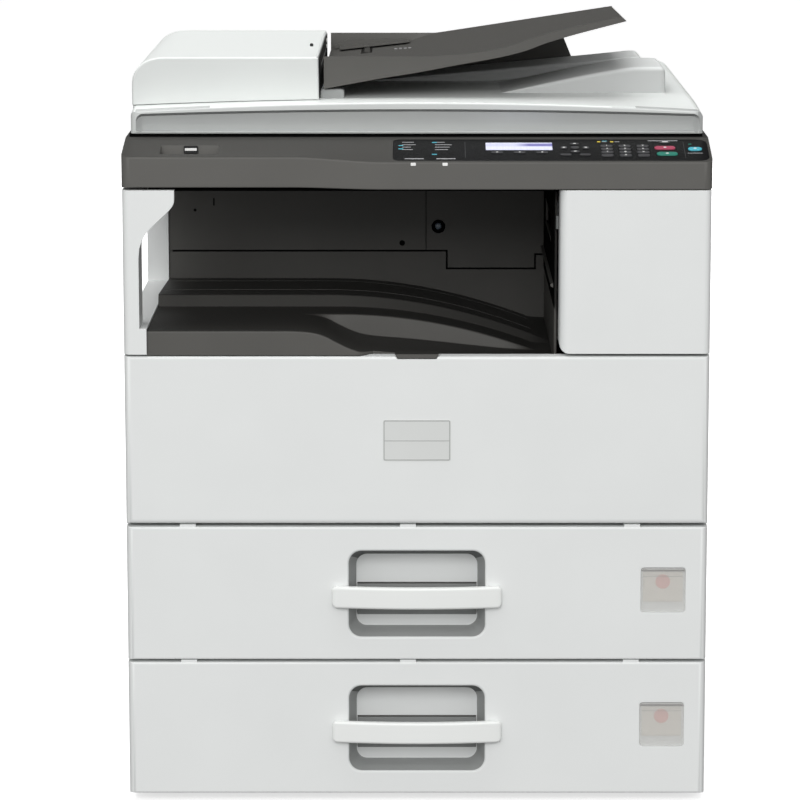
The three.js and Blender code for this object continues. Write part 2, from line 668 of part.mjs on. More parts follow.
function scannerHousing() {
  const { bottom, top, rear, halfWidth } = SCAN;
  const blend = (x, left, right) => {
    const t = Math.min(1, Math.max(0, (x + 125) / 92));
    return left + (right - left) * t * t * (3 - 2 * t);
  };
  const stations = [-halfWidth, -125, -107, -89, -71, -53, -33, halfWidth];
  const crown = 2.5;
  const sections = stations.map((x) => {
    const low = blend(x, bottom + 2.2, bottom);
    const brow = blend(x, 661.4, SLOPE_FOOT);
    return [
      [x, rear, bottom + 2.2],
      [x, rear, top],
      [x, LID.front, top],
      [x, FRONT + crown, brow + crown * 0.2],
      [x, FRONT, brow - crown],
      [x, FRONT, low],
      [x, FRONT + 20, bottom + 2.2],
    ];
  });
  const body = solid(loft(sections));
  const round = 9;
  const corner = (side) => {
    const [near, far] = [side * (halfWidth - round), side * (halfWidth + 1)];
    const square = box(Math.min(near, far), Math.max(near, far), FRONT - 1, FRONT + round, 620, 680);
    const post = new THREE.CylinderGeometry(round, round, 80, 20).rotateX(Math.PI / 2);
    return cut(solid(square), post.translate(near, FRONT + round, 650));
  };
  const bed = box(-272, 272, -186, 246, bottom + 8, top + 1);
  const rebate = box(-276, 276, -190, 250, top - 4, top + 1);
  const pocket = alongZ(
    roundedRect(PANEL_X.left, PANEL_X.right, PANEL_S.low, PANEL_S.high, PANEL_ROUND.left, PANEL_ROUND.right),
    -POCKET_DEPTH,
    3,
    4,
  ).applyMatrix4(slope.matrixWorld);
  const usb = box(-256, -197, FRONT + 8, FRONT + 40, 662, 690);
  const made = cut(body, bed, rebate, pocket, usb).subtract(corner(-1)).subtract(corner(1));
  piece("scanner_housing", made, CHARCOAL);
  piece("exposure_glass", box(-275.5, 275.5, -189.5, 249.5, top - 3.6, top), GLASS);
  const carriage = (name, x, width, height) =>
    piece(name, box(x, x + width, -180, 240, bottom + 12, bottom + 12 + height), BLACK);
  carriage("half_rate_carriage", -264, 40, 22);
  carriage("full_rate_carriage", -216, 52, 25);
}

function operationPanel() {
  const plate = roundedRect(
    PANEL_X.left + GAP,
    PANEL_X.right - GAP,
    PANEL_S.low + GAP,
    PANEL_S.high - GAP,
    PANEL_ROUND.left - GAP,
    PANEL_ROUND.right - GAP,
  );
  const top = -0.2;
  const bottom = top - 2.4;
  const clearance = 0.5;
  const keys = [];
  const key = (name, x, y, w, h, look, radius = 2) => keys.push({ name, x, y, w, h, look, radius });
  const pad = { x: 190, y: 45.2, dx: 18, dy: -8.9, w: 12.5, h: 5.6 };
  ["1", "2", "3", "4", "5", "6", "7", "8", "9", "star", "0", "hash"].forEach((digit, i) =>
    key(`key_${digit}`, pad.x + (i % 3) * pad.dx, pad.y + Math.floor(i / 3) * pad.dy, pad.w, pad.h, KEY_GREY),
  );
  key("key_stop", 248, 40, 21, 9, RED, 4);
  key("key_start", 249.5, 23, 21, 9.5, GREEN, 4);
  key("key_power", 278, 37, 14, 9, CYAN, 4);
  const body = solid(alongZ(plate, bottom, top, 4));
  const holes = keys.map(({ x, y, w, h, radius }) =>
    alongZ(
      roundedRect(
        x - w / 2 - clearance,
        x + w / 2 + clearance,
        y - h / 2 - clearance,
        y + h / 2 + clearance,
        radius + clearance,
      ),
      bottom - 1,
      top + 1,
      2,
    ),
  );
  const display = { x0: 68.5, x1: 136, y0: 34.5, y1: 56.5, depth: 1.2 };
  const bezel = box(display.x0, display.x1, display.y0, display.y1, top - display.depth, top + 1);
  piece("control_panel", cut(body, bezel, ...holes), BLACK, slope);
  const screen = box(
    display.x0 + GAP,
    display.x1 - GAP,
    display.y0 + GAP,
    display.y1 - GAP,
    top - display.depth + 0.3,
    top - 0.1,
  );
  piece("display", screen, SCREEN, slope);
  for (const { name, x, y, w, h, look, radius } of keys) {
    const cap = roundedRect(x - w / 2, x + w / 2, y - h / 2, y + h / 2, radius);
    piece(name, alongZ(cap, top - 2.2, top + 1, 2), look, slope);
  }
}

// ---------------------------------------------------------------- lid and sheet feeder
// The lid's top is level in its middle, drops towards the front, more so at its ends,
// and rounds over at the right.
function lidTop(x, y) {
  const { halfWidth, front, top, dropFrom, dropMiddle, dropEnds } = LID;
  const t = Math.min(1, Math.max(0, (dropFrom - y) / (dropFrom - front)));
  const share = t * t * (3 - 2 * t);
  const frontDrop = (dropMiddle + dropEnds * (x / halfWidth) ** 2) * share;
  const round = LID.roundRight + (LID.roundRightFront - LID.roundRight) * share;
  const over = Math.max(0, x - (halfWidth - round));
  const sideDrop = round - Math.sqrt(Math.max(0, round ** 2 - over ** 2));
  return top - frontDrop - Math.min(sideDrop, round * 0.8);
}

function lid() {
  const { halfWidth, front, bottom, top } = LID;
  const stations = [-1, -0.99, -0.85, -0.6, -0.3, 0, 0.3, 0.6, 0.85, 0.94, 0.965, 0.985, 1];
  const rows = [dropRow(0), dropRow(0.4), dropRow(0.75)];
  const sections = stations.map((t) => {
    const x = t * halfWidth;
    const corner = t === -1 ? 4 : 0;
    const lip = lidTop(x, front) - corner;
    return [
      [x, LID_REAR, bottom],
      [x, LID_REAR, lidTop(x, 0) - 4],
      [x, LID_REAR - 3, lidTop(x, 0) - corner],
      ...rows.map((y) => [x, y, lidTop(x, y) - corner]),
      [x, front + 4, lip],
      [x, front, lip - 1.6],
      [x, front + 0.6, lip - 3.2],
      [x, front + 8, lip - 4],
      [x, front + 9, Math.min(lip - 8, bottom + 10)],
      [x, front + 3, bottom + 2],
      [x, front + 2, bottom],
    ];
  });
  const shell = solid(loft(sections));
  const padRecess = box(-264, 264, -192, 252, bottom - 1, bottom + 4.6);
  const [y0, y1] = [FEEDER.front + 3.6, FEEDER.back - 3.6];
  const feederBase = join(
    box(FEEDER.left + 0.6, FEEDER.right - 3.5, y0, y1, top - 11, FEEDER.split - 2.2),
    box(FEEDER.left + 0.2, FEEDER.left + 2.6, y0, y1, top - 16, FEEDER.split - GAP),
  );
  const throat = box(FEEDER.left + 20, FEEDER.right - 20, y0 + 20, y1 - 20, 714, FEEDER.split + 1);
  const boss = alongY(roundedRect(-92, -72, top - 6, top + 8.5, 3), -165, -145, 3);
  // The document stop: two wedges that rise to the right, with a finger channel between them.
  const wedge = ({ y0: near, y1: far, left, right, flat, high, fall }) => {
    const rise = [
      [right, high - fall],
      [flat + 2 * fall, high],
      [flat, high],
      [left, top - 0.5],
    ];
    return alongY(outline([left, top - 12], [right, top - 12], ...rise), near, far);
  };
  const { front: first, rear: second } = WEDGES;
  const wedges = join(wedge(first), wedge(second));
  const floor = outline([84, top - 12], [232, top - 12], [226, top + 15], [84, top + 0.3]);
  const channel = solid(alongY(floor, first.y1 - 1, second.y0 + 1));
  const notch = (side) => {
    const reach = HINGE.width / 2 + 1.5;
    const x = side * HINGE.x;
    return box(x - reach, x + reach, 258, LID_REAR + 5, bottom - 5, top + 5);
  };
  const body = shell.add(feederBase).add(solid(boss)).add(wedges).add(channel);
  piece("platen_lid", cut(body, padRecess, throat, notch(-1), notch(1)), LIGHT);
  piece("platen_pad", box(-263, 263, -191, 251, SCAN.top + GAP, bottom + 4.2), WHITE);
}

function hinges() {
  const { x, width, y, z, radius } = HINGE;
  const side = new THREE.Shape();
  side.moveTo(SCAN.rear + 0.6, SCAN.bottom);
  side.lineTo(284, SCAN.bottom);
  side.lineTo(y + radius, z);
  side.absarc(y, z, radius, 0, Math.PI);
  side.lineTo(SCAN.rear + 0.6, 676);
  for (const [name, middle] of Object.entries({ left: -x, right: x }))
    piece(`lid_hinge_${name}`, alongX(side, middle - width / 2, middle + width / 2, 6), STEEL_PLATE);
}

// The cover's cross-section, side on from the front, shrunk by a wall thickness.
function feederProfile(wall) {
  const { left, right, top, split } = FEEDER;
  const s = new THREE.Shape();
  const base = wall ? 700 : split;
  s.moveTo(left + wall, base);
  if (wall) s.lineTo(left + wall, split);
  s.bezierCurveTo(left + wall, split + 18, left + 13.5 + wall, top - wall, left + 34 + wall, top - wall);
  s.lineTo(right - 3 - wall, top - wall);
  s.lineTo(right - 1 - wall, top - 4 - wall);
  s.lineTo(right - wall, base);
  return s;
}

function feeder() {
  const { left, right, front, back, split } = FEEDER;
  const apron = (y0, y1) => {
    const clearance = 0.6;
    const feet = [0, 0.25, 0.5, 0.75, 1].map((t) => left + t * (right - left));
    const under = feet.map((x) => [x, Math.max(lidTop(x, y0), lidTop(x, y1)) + clearance]);
    return alongY(outline(...under, [right, split + 1], [left, split + 1]), y0, y1);
  };
  const outer = join(
    alongY(feederProfile(0), front, back, 7),
    apron(front, front + SKIN),
    apron(back - SKIN, back),
  );
  const inner = alongY(feederProfile(SKIN), front + SKIN, back - SKIN, 7);
  piece("feeder_cover", cut(outer, inner), LIGHT);
  const roll = [
    [-60, 0],
    [-60, 3],
    [-22, 3],
    [-22, 9],
    [22, 9],
    [22, 3],
    [60, 3],
    [60, 0],
  ];
  piece("feed_roller", turnedAlongY(roll, -118, 736, 16), RUBBER);
}

// Heights along the document tray: the rim's top, its underside and the bed that paper lies on.
const RIM = [
  { x: -94.5, top: 752, under: 719, bed: 734 },
  { x: -40, top: 752, under: 729, bed: 740 },
  { x: 0, top: 752, under: 735.5, bed: 744.5 },
  { x: 40, top: 753.8, under: 743, bed: 749.5 },
  { x: 85, top: 760, under: 751.2, bed: 757.5 },
  { x: 110, top: 768, under: 757.5, bed: 766 },
  { x: 130, top: 774.5, under: 765, bed: 772.8 },
  { x: 155, top: 780.8, under: 772.5, bed: 779.3 },
  { x: 212.5, top: 793.2, under: 787.6, bed: 792 },
];

function documentTray() {
  const { front, back, tip, tipBack, tipLean, rearTop, rearTipTop } = DOCUMENT_TRAY;
  const rimWidth = 7;
  const level = 21; // the rear rim is level up to here, and then rises and comes forward to the tip
  const along = (x) => Math.max(0, (x - level) / (tip - level));
  const rearAt = (x) => back + (tipBack - back) * along(x);
  const rearTopAt = (x) => rearTop + (rearTipTop - rearTop) * along(x);
  // The tray's section at one place: rear rim, bed, front rim, underside.
  const sections = RIM.map(({ x, top, under, bed }) => {
    const [rear, high] = [rearAt(x), rearTopAt(x)];
    const rearBed = x <= level ? bed : high - 0.5;
    const frontBed = x <= level ? bed : Math.min(top - 0.6, Math.max(bed, top - 3));
    const rimX = x === tip ? x - tipLean : x;
    return [
      [x, rear, rearBed - 9],
      [x, rear, high],
      [x, rear - 5, high],
      [x, rear - 6, rearBed],
      [rimX, front + rimWidth, frontBed],
      [rimX, front + rimWidth - 2, top - 0.4],
      [rimX, front, top],
      [x, front, under],
      [x, front + 12, Math.max(under, frontBed - 9)],
    ];
  });
  const body = solid(loft(sections));
  // A skirt under the rear edge reaches down to the lid and closes the space behind the sheets
  // that come out.
  const { x0, x1, x1Low, low, thick } = SKIRT;
  const line = (x) => rearAt(x) - 6;
  const behind = [x0, level, x1Low].map((x) => [x, line(x)]);
  const before = [x1Low, level, x0].map((x) => [x, line(x) - thick]);
  const plan = outline(...behind, ...before);
  const face = outline(
    [x0, low],
    [x1Low, low],
    [x1, 748],
    [x1 - 2, rearTopAt(x1) - 7],
    [level, rearTopAt(level) - 6],
    [-40, 738],
    [x0, 732],
  );
  const leg = solid(alongZ(plan, low, 800)).intersect(solid(alongY(face, -200, 200)));
  const slots = [-1, 1].map((side) => {
    const [y0, y1] = [side * 37, side * 108].sort((p, q) => p - q);
    return box(-60, -48, MIDDLE + y0, MIDDLE + y1, 715, 760);
  });
  piece("document_tray", cut(body.add(leg), ...slots), CHARCOAL);
  // Each guide is a fence on a foot, and a peg under the foot runs in the tray's slot.
  const fence = outline([-90, 736], [-8, 745.4], [-8, 747.2], [-75, 746.4], [-90, 739.4]);
  const foot = outline([-84, 737], [-8, 745.4], [-8, 747], [-84, 738.6]);
  for (const [name, side] of Object.entries({ front: -1, rear: 1 })) {
    const across = (near, far) => [MIDDLE + side * near, MIDDLE + side * far].sort((p, q) => p - q);
    const guide = join(
      alongY(fence, ...across(130, 134)),
      alongY(foot, ...across(98, 133)),
      box(-57, -51, ...across(100, 106), 734, 741),
    );
    piece(`document_guide_${name}`, guide, CHARCOAL);
  }
}

const MIDDLE = 2; // the sheet's centre line, front to back

feet();
lowerCabinet();
mainFrame();
leftCover();
rightSidePanel();
rearCover();
powerInlet();
DRAWER_BASES.forEach((base, i) => drawer(i + 1, base));
frontCover();
upperFrontCover();
outputTray();
bayLiner();
engine();
rightDoor();
scannerHousing();
operationPanel();
lid();
hinges();
feeder();
documentTray();

export default copier;
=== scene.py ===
"""Photocopier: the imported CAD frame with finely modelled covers, trims, materials, light and camera."""
import math

import bmesh
import bpy
from mathutils import Matrix, Vector


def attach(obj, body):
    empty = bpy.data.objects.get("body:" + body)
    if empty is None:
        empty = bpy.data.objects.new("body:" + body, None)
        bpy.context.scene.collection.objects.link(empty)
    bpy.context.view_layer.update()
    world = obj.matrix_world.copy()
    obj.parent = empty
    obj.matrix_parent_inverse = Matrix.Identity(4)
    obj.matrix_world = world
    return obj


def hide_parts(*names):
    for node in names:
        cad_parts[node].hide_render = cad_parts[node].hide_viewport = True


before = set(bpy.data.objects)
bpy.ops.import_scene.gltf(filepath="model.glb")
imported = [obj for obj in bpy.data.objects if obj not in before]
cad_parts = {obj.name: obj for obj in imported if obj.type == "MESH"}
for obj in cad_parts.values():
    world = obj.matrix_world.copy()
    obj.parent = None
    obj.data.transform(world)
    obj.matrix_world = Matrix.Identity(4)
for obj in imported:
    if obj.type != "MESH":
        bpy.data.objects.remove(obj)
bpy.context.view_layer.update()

scene = bpy.context.scene
MM = 0.001


# ---- camera
camera_data = bpy.data.cameras.new("camera")
camera = bpy.data.objects.new("camera", camera_data)
scene.collection.objects.link(camera)
camera.location = (0, -3.9357, 1.0583)
camera.rotation_euler = (math.radians(80.052), 0, 0)
camera_data.sensor_width = 36
camera_data.lens = 166.77
camera_data.shift_x = -0.0211
camera_data.clip_end = 100
scene.camera = camera
scene.view_settings.view_transform = "Standard"


# ---- main dimensions, the same as the frame's, in mm
HALF_WIDTH = 293
FRONT = -280
PANEL_BACK = -262
DRAWER_BASES = (150, 10)
DRAWER_HEIGHT = 137
SCAN_TOP = 674
SCAN_BOTTOM = 628.6
LID_HALF = 288.6
LID_FRONT = -211
LID_REAR = 294
LID_BOTTOM = 677.5
LID_TOP = 710
LID_FALL = -120  # the lid's top falls from here to the front
LID_ROUND, LID_ROUND_FRONT = 17.5, 7  # the radius over the lid's right edge, and its radius at the front
SLOPE_FOOT = 656.4
SLOPE_ANGLE = math.atan2(SCAN_TOP - SLOPE_FOOT, LID_FRONT - FRONT)
FEEDER_LEFT, FEEDER_RIGHT = -289, -99
FEEDER_FRONT, FEEDER_BACK = -180, 188
FEEDER_TOP, FEEDER_SPLIT = 752, 724
BAY_REAR = 66  # the rear wall of the output bay
IN_BAY = ("chassis", "bay_plastic")  # body and slot


# ---- mesh helpers
def smoothstep(t):
    t = min(1, max(0, t))
    return t * t * (3 - 2 * t)


def curve_through(points, x):
    """The height at x of a smooth curve through points (x, value) that never overshoots them."""
    xs = [p[0] for p in points]
    ys = [p[1] for p in points]
    n = len(xs)
    if x <= xs[0]:
        return ys[0]
    if x >= xs[-1]:
        return ys[-1]
    rise = [(ys[i + 1] - ys[i]) / (xs[i + 1] - xs[i]) for i in range(n - 1)]
    slopes = [rise[0]]
    for i in range(1, n - 1):
        a, b = rise[i - 1], rise[i]
        slopes.append(0 if a * b <= 0 else 2 * a * b / (a + b))
    slopes.append(rise[-1])
    i = max(k for k in range(n - 1) if xs[k] <= x)
    h = xs[i + 1] - xs[i]
    t = (x - xs[i]) / h
    return (
        (2 * t**3 - 3 * t**2 + 1) * ys[i]
        + (t**3 - 2 * t**2 + t) * h * slopes[i]
        + (3 * t**2 - 2 * t**3) * ys[i + 1]
        + (t**3 - t**2) * h * slopes[i + 1]
    )


def spread(a, b, count):
    return [a + (b - a) * i / (count - 1) for i in range(count)]


def fillet(corners, steps=6):
    """A closed outline whose corners (x, y, radius) are rounded."""
    out = []
    n = len(corners)
    for i, (x, y, *rest) in enumerate(corners):
        radius = rest[0] if rest else 0
        here = Vector((x, y))
        before = Vector(corners[i - 1][:2]) - here
        after = Vector(corners[(i + 1) % n][:2]) - here
        if radius <= 0:
            out.append((x, y))
            continue
        angle = before.angle(after)
        reach = min(radius / math.tan(angle / 2), before.length * 0.499, after.length * 0.499)
        radius = reach * math.tan(angle / 2)
        start = here + before.normalized() * reach
        end = here + after.normalized() * reach
        centre = here + (before.normalized() + after.normalized()).normalized() * radius / math.sin(angle / 2)
        a0 = math.atan2(*(start - centre).yx)
        turn = (math.atan2(*(end - centre).yx) - a0 + math.pi) % (2 * math.pi) - math.pi
        for k in range(steps + 1):
            a = a0 + turn * k / steps
            out.append((centre.x + radius * math.cos(a), centre.y + radius * math.sin(a)))
    return out


def rounded_rect(x0, x1, y0, y1, radius, steps=6):
    return fillet([(x0, y0, radius), (x1, y0, radius), (x1, y1, radius), (x0, y1, radius)], steps)


def mesh_object(name, verts, faces):
    """A new object from points in mm, with its faces turned outwards."""
    mesh = bpy.data.meshes.new(name)
    mesh.from_pydata([[c * MM for c in v] for v in verts], [], faces)
    bm = bmesh.new()
    bm.from_mesh(mesh)
    bmesh.ops.remove_doubles(bm, verts=bm.verts, dist=1e-6)
    bmesh.ops.recalc_face_normals(bm, faces=bm.faces)
    bm.to_mesh(mesh)
    bm.free()
    obj = bpy.data.objects.new(name, mesh)
    scene.collection.objects.link(obj)
    return obj


def loft(name, rings, place=lambda p: p):
    """A closed skin through rings of the same count, capped at both ends."""
    count = len(rings[0])
    verts = [place(p) for ring in rings for p in ring]
    faces = []
    for r in range(len(rings) - 1):
        for i in range(count):
            a, b = r * count + i, r * count + (i + 1) % count
            faces.append((a, b, b + count, a + count))
    faces.append(tuple(range(count))[::-1])
    last = (len(rings) - 1) * count
    faces.append(tuple(range(last, last + count)))
    return mesh_object(name, verts, faces)


AXES = {
    "x": lambda u, v, w: (w, u, v),
    "y": lambda u, v, w: (u, w, v),
    "z": lambda u, v, w: (u, v, w),
}


def prism(name, outline, axis, lo, hi, place=lambda p: p):
    """outline is (y, z) along x, (x, z) along y or (x, y) along z."""
    at = AXES[axis]
    return loft(name, [[at(u, v, w) for u, v in outline] for w in (lo, hi)], place)


def block(name, x0, x1, y0, y1, z0, z1):
    return prism(name, [(x0, y0), (x1, y0), (x1, y1), (x0, y1)], "z", z0, z1)


def turned(name, profile, centre, axis="y", steps=32):
    """A solid of revolution: profile is (distance along the axis, radius), centre a point on the axis."""
    along = {"x": 0, "y": 1, "z": 2}[axis]
    others = [k for k in range(3) if k != along]
    rings = []
    for distance, radius in profile:
        ring = []
        for k in range(steps):
            a = 2 * math.pi * k / steps
            p = list(centre)
            p[along] += distance
            p[others[0]] += radius * math.cos(a)
            p[others[1]] += radius * math.sin(a)
            ring.append(p)
        rings.append(ring)
    return loft(name, rings)


def bake(obj):
    """Applies the modifiers of obj to its mesh."""
    graph = bpy.context.evaluated_depsgraph_get()
    made = bpy.data.meshes.new_from_object(obj.evaluated_get(graph))
    obj.modifiers.clear()
    obj.data = made


def carve(body, *tools, operation="DIFFERENCE"):
    for tool in tools:
        modifier = body.modifiers.new("carve", "BOOLEAN")
        modifier.object = tool
        modifier.operation = operation
        modifier.solver = "EXACT"
    bake(body)
    for tool in tools:
        bpy.data.objects.remove(tool)


def merge(body, *tools):
    carve(body, *tools, operation="UNION")


def keep_inside(body, tool):
    carve(body, tool, operation="INTERSECT")


def add_bevel(obj, width, segments, angle=32):
    bevel = obj.modifiers.new("edges", "BEVEL")
    bevel.width = width * MM
    bevel.segments = segments
    bevel.limit_method = "ANGLE"
    bevel.angle_limit = math.radians(angle)


def make_smooth_group():
    """A node group that shades faces smooth except across edges sharper than 38 degrees."""
    group = bpy.data.node_groups.new("smooth_by_angle", "GeometryNodeTree")
    group.interface.new_socket("Geometry", in_out="INPUT", socket_type="NodeSocketGeometry")
    group.interface.new_socket("Geometry", in_out="OUTPUT", socket_type="NodeSocketGeometry")
    new = group.nodes.new
    start, end = new("NodeGroupInput"), new("NodeGroupOutput")
    angle = new("GeometryNodeInputMeshEdgeAngle")
    compare = new("FunctionNodeCompare")
    compare.operation = "LESS_EQUAL"
    compare.inputs["B"].default_value = math.radians(38)
    faces = new("GeometryNodeSetShadeSmooth")
    edges = new("GeometryNodeSetShadeSmooth")
    edges.domain = "EDGE"
    link = group.links.new
    link(start.outputs[0], faces.inputs["Geometry"])
    link(faces.outputs[0], edges.inputs["Geometry"])
    link(angle.outputs["Unsigned Angle"], compare.inputs["A"])
    link(compare.outputs[0], edges.inputs["Shade Smooth"])
    link(edges.outputs[0], end.inputs[0])
    return group


SMOOTH = make_smooth_group()


def soften(obj, width=0.0, segments=3, angle=32):
    """Rounds the sharp edges of obj by width in mm, and shades it smooth."""
    if width:
        add_bevel(obj, width, segments, angle)
    smooth = obj.modifiers.new("smooth", "NODES")
    smooth.node_group = SMOOTH
    weighted = obj.modifiers.new("weighted", "WEIGHTED_NORMAL")
    weighted.keep_sharp = True
    weighted.weight = 80


def finish(obj, material, body, slot, bevel=0.0, segments=3, angle=32, replaces=()):
    """Gives a piece its material, softens its edges and puts it on its body."""
    obj.data.materials.clear()
    obj.data.materials.append(material)
    soften(obj, bevel, segments, angle)
    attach(obj, body)
    if replaces:
        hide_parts(*replaces)


def front_piece(name, outline, y0, y1, material, body, slot, bevel=0.0, segments=2):
    """A plain piece with its outline (x, z) seen from the front."""
    finish(prism(name, outline, "y", y0, y1), material, body, slot, bevel, segments)


# ---- materials
def linear(r, g, b):
    def channel(c):
        c /= 255
        return c / 12.92 if c <= 0.04045 else ((c + 0.055) / 1.055) ** 2.4

    return [channel(c) for c in (r, g, b)]


class Nodes:
    """A small helper that makes and links shader nodes."""

    def __init__(self, name):
        self.material = bpy.data.materials.new(name)
        self.material.use_nodes = True
        self.tree = self.material.node_tree
        self.shader = self.tree.nodes["Principled BSDF"]
        self.place = self.new("ShaderNodeTexCoord").outputs["Object"]

    def new(self, kind, **values):
        node = self.tree.nodes.new(kind)
        for key, value in values.items():
            setattr(node, key, value)
        return node

    def link(self, a, b):
        self.tree.links.new(a, b)

    def noise(self, scale, detail=2.0, stretch=None):
        node = self.new("ShaderNodeTexNoise")
        node.inputs["Scale"].default_value = scale
        node.inputs["Detail"].default_value = detail
        source = self.place
        if stretch:
            mapping = self.new("ShaderNodeMapping")
            mapping.inputs["Scale"].default_value = stretch
            self.link(source, mapping.inputs["Vector"])
            source = mapping.outputs[0]
        self.link(source, node.inputs["Vector"])
        return node.outputs[0]

    def blend_colours(self, factor, low, high):
        mix = self.new("ShaderNodeMix", data_type="RGBA")
        mix.inputs[6].default_value = (*low, 1)
        mix.inputs[7].default_value = (*high, 1)
        self.link(factor, mix.inputs[0])
        return mix.outputs[2]

    def ranged(self, factor, low, high, from_low=0.3, from_high=0.7):
        node = self.new("ShaderNodeMapRange")
        ends = {"From Min": from_low, "From Max": from_high, "To Min": low, "To Max": high}
        for key, value in ends.items():
            node.inputs[key].default_value = value
        self.link(factor, node.inputs["Value"])
        return node.outputs[0]

    def bump(self, height, strength, distance_mm):
        node = self.new("ShaderNodeBump")
        node.inputs["Strength"].default_value = strength
        node.inputs["Distance"].default_value = distance_mm * MM
        self.link(height, node.inputs["Height"])
        self.link(node.outputs[0], self.shader.inputs["Normal"])

    def set(self, **values):
        for key, value in values.items():
            self.shader.inputs[key.replace("_", " ")].default_value = value


def moulded(name, colour, roughness=0.5, tone=0.03, grain_mm=0.5, bump=0.25, specular=0.4,
            coat=0.0, facing=1.0, axis=2):
    """Moulded plastic: a fine spark-eroded grain, slight mottling of tone and gloss.

    facing scales the tone of faces that look along the axis, up or to the right with axis 0: painted light
    where it is above 1, painted shade where it is below 1.
    """
    n = Nodes(name)
    base = linear(*colour)
    low = [c * (1 - tone) for c in base]
    high = [min(1, c * (1 + tone)) for c in base]
    broad = n.noise(11, 3)
    fine = n.noise(1 / (grain_mm * MM), 3)
    colour_out = n.blend_colours(n.ranged(broad, 0, 1), low, high)
    # Painted light and shade: faces that look along the axis take the colour scaled by facing.
    if facing != 1.0:
        parts = n.new("ShaderNodeSeparateXYZ")
        n.link(n.new("ShaderNodeNewGeometry").outputs["Normal"], parts.inputs[0])
        deep = n.new("ShaderNodeMix", data_type="RGBA")
        n.link(n.ranged(parts.outputs[axis], 0, 1, 0.25, 0.85), deep.inputs[0])
        n.link(colour_out, deep.inputs[6])
        deep.inputs[7].default_value = (*(min(1, c * facing) for c in base), 1)
        colour_out = deep.outputs[2]
    n.link(colour_out, n.shader.inputs["Base Color"])
    n.link(n.ranged(fine, roughness - 0.06, roughness + 0.06), n.shader.inputs["Roughness"])
    n.bump(fine, bump, 0.06)
    n.set(Metallic=0.0, Specular_IOR_Level=specular, Coat_Weight=coat, Coat_Roughness=0.15)
    return n.material


def display_material():
    """A lit liquid-crystal display: a pale field of faint blocks with a darker bar at the upper right."""
    n = Nodes("display_screen")
    separate = n.new("ShaderNodeSeparateXYZ")
    n.link(n.place, separate.inputs[0])
    cells = n.new("ShaderNodeTexBrick")
    cells.offset = 0.37
    n.link(n.place, cells.inputs["Vector"])
    sizes = {"Scale": 1.0, "Mortar Size": 0.0008, "Brick Width": 0.006, "Row Height": 0.0026}
    for key, value in sizes.items():
        cells.inputs[key].default_value = value
    cells.inputs["Color1"].default_value = (*linear(212, 215, 238), 1)
    cells.inputs["Color2"].default_value = (*linear(200, 203, 232), 1)
    cells.inputs["Mortar"].default_value = (*linear(222, 224, 244), 1)
    rows = n.new("ShaderNodeMath", operation="MULTIPLY")
    n.link(n.ranged(separate.outputs[1], 0, 1, -0.2366, -0.2352), rows.inputs[0])
    n.link(n.ranged(separate.outputs[1], 1, 0, -0.2286, -0.2276), rows.inputs[1])
    left = n.ranged(separate.outputs[0], 0.2, 1, 0.098, 0.112)
    band = n.new("ShaderNodeMath", operation="MULTIPLY")
    n.link(rows.outputs[0], band.inputs[0])
    n.link(left, band.inputs[1])
    mix = n.new("ShaderNodeMix", data_type="RGBA")
    n.link(band.outputs[0], mix.inputs[0])
    n.link(cells.outputs["Color"], mix.inputs[6])
    mix.inputs[7].default_value = (*linear(120, 118, 178), 1)
    n.link(mix.outputs[2], n.shader.inputs["Base Color"])
    n.link(mix.outputs[2], n.shader.inputs["Emission Color"])
    n.set(Emission_Strength=0.06, Roughness=0.12)
    return n.material


def glassy(name, colour, alpha, roughness=0.08):
    n = Nodes(name)
    base = linear(*colour)
    mottle = n.noise(60, 2)
    n.link(n.blend_colours(mottle, [c * 0.97 for c in base], base), n.shader.inputs["Base Color"])
    n.link(n.ranged(n.noise(900, 2), roughness - 0.03, roughness + 0.04), n.shader.inputs["Roughness"])
    n.set(Alpha=alpha)
    return n.material


def brushed(name, colour, roughness=0.38):
    """Zinc-plated sheet with fine rolling lines."""
    n = Nodes(name)
    base = linear(*colour)
    lines = n.noise(300, 3, stretch=(0.05, 1, 1))
    tones = n.blend_colours(lines, [c * 0.9 for c in base], [min(1, c * 1.06) for c in base])
    n.link(tones, n.shader.inputs["Base Color"])
    n.link(n.ranged(lines, roughness - 0.08, roughness + 0.1), n.shader.inputs["Roughness"])
    n.bump(lines, 0.1, 0.03)
    n.set(Metallic=0.9)
    return n.material


# Roughness, tone, grain in mm, bump and specular of what several materials share.
CASING = (0.5, 0.012, 0.55, 0.2, 0.35)
DULL = (0.55, 0.02, 0.5, 0.25, 0.15)
GLOSSY = (0.4, 0.05, 0.3, 0.1, 0.5)
PRINT = (0.5, 0.05, 0.4, 0.1, 0.4)
LIGHT = moulded("light_casing_plastic", (230, 232, 231), *CASING)
# Painted shade: a darker grey of the casing for the grip recess and for the block in the document tray's
# shadow.
PAINTED_SHADE_GREY = moulded("painted_shade_grey", (158, 160, 159), 0.55, 0.02, 0.5, 0.25, 0.2)
# Painted shade: the grip recess's downward-facing ceiling, darker still.
GRIP_CEILING_SHADE = moulded("grip_ceiling_painted_shade", (90, 92, 91), *DULL)
# Painted shade: the step in the grip recess, greyer than the casing.
GRIP_STEP_SHADE = moulded("grip_step_painted_shade", (140, 142, 141), *DULL)
HANDLE = moulded("handle_plastic", (237, 239, 237), 0.42, 0.012, 0.5, 0.15, 0.4)
# Painted shade: faces that look to the right, into the output bay, are darkened.
LEFT = moulded("left_cover_plastic", (230, 232, 231), *CASING, facing=0.76, axis=0)
# Painted light: the feeder cover's top faces are lightened.
FEEDER = moulded("feeder_plastic", (214, 217, 215), 0.42, 0.012, 0.5, 0.15, 0.4, facing=1.2)
# Painted light: the lid's top faces are lightened.
LIGHT_LID = moulded("lid_plastic", (204, 207, 205), 0.42, 0.012, 0.5, 0.15, 0.4, facing=1.32)
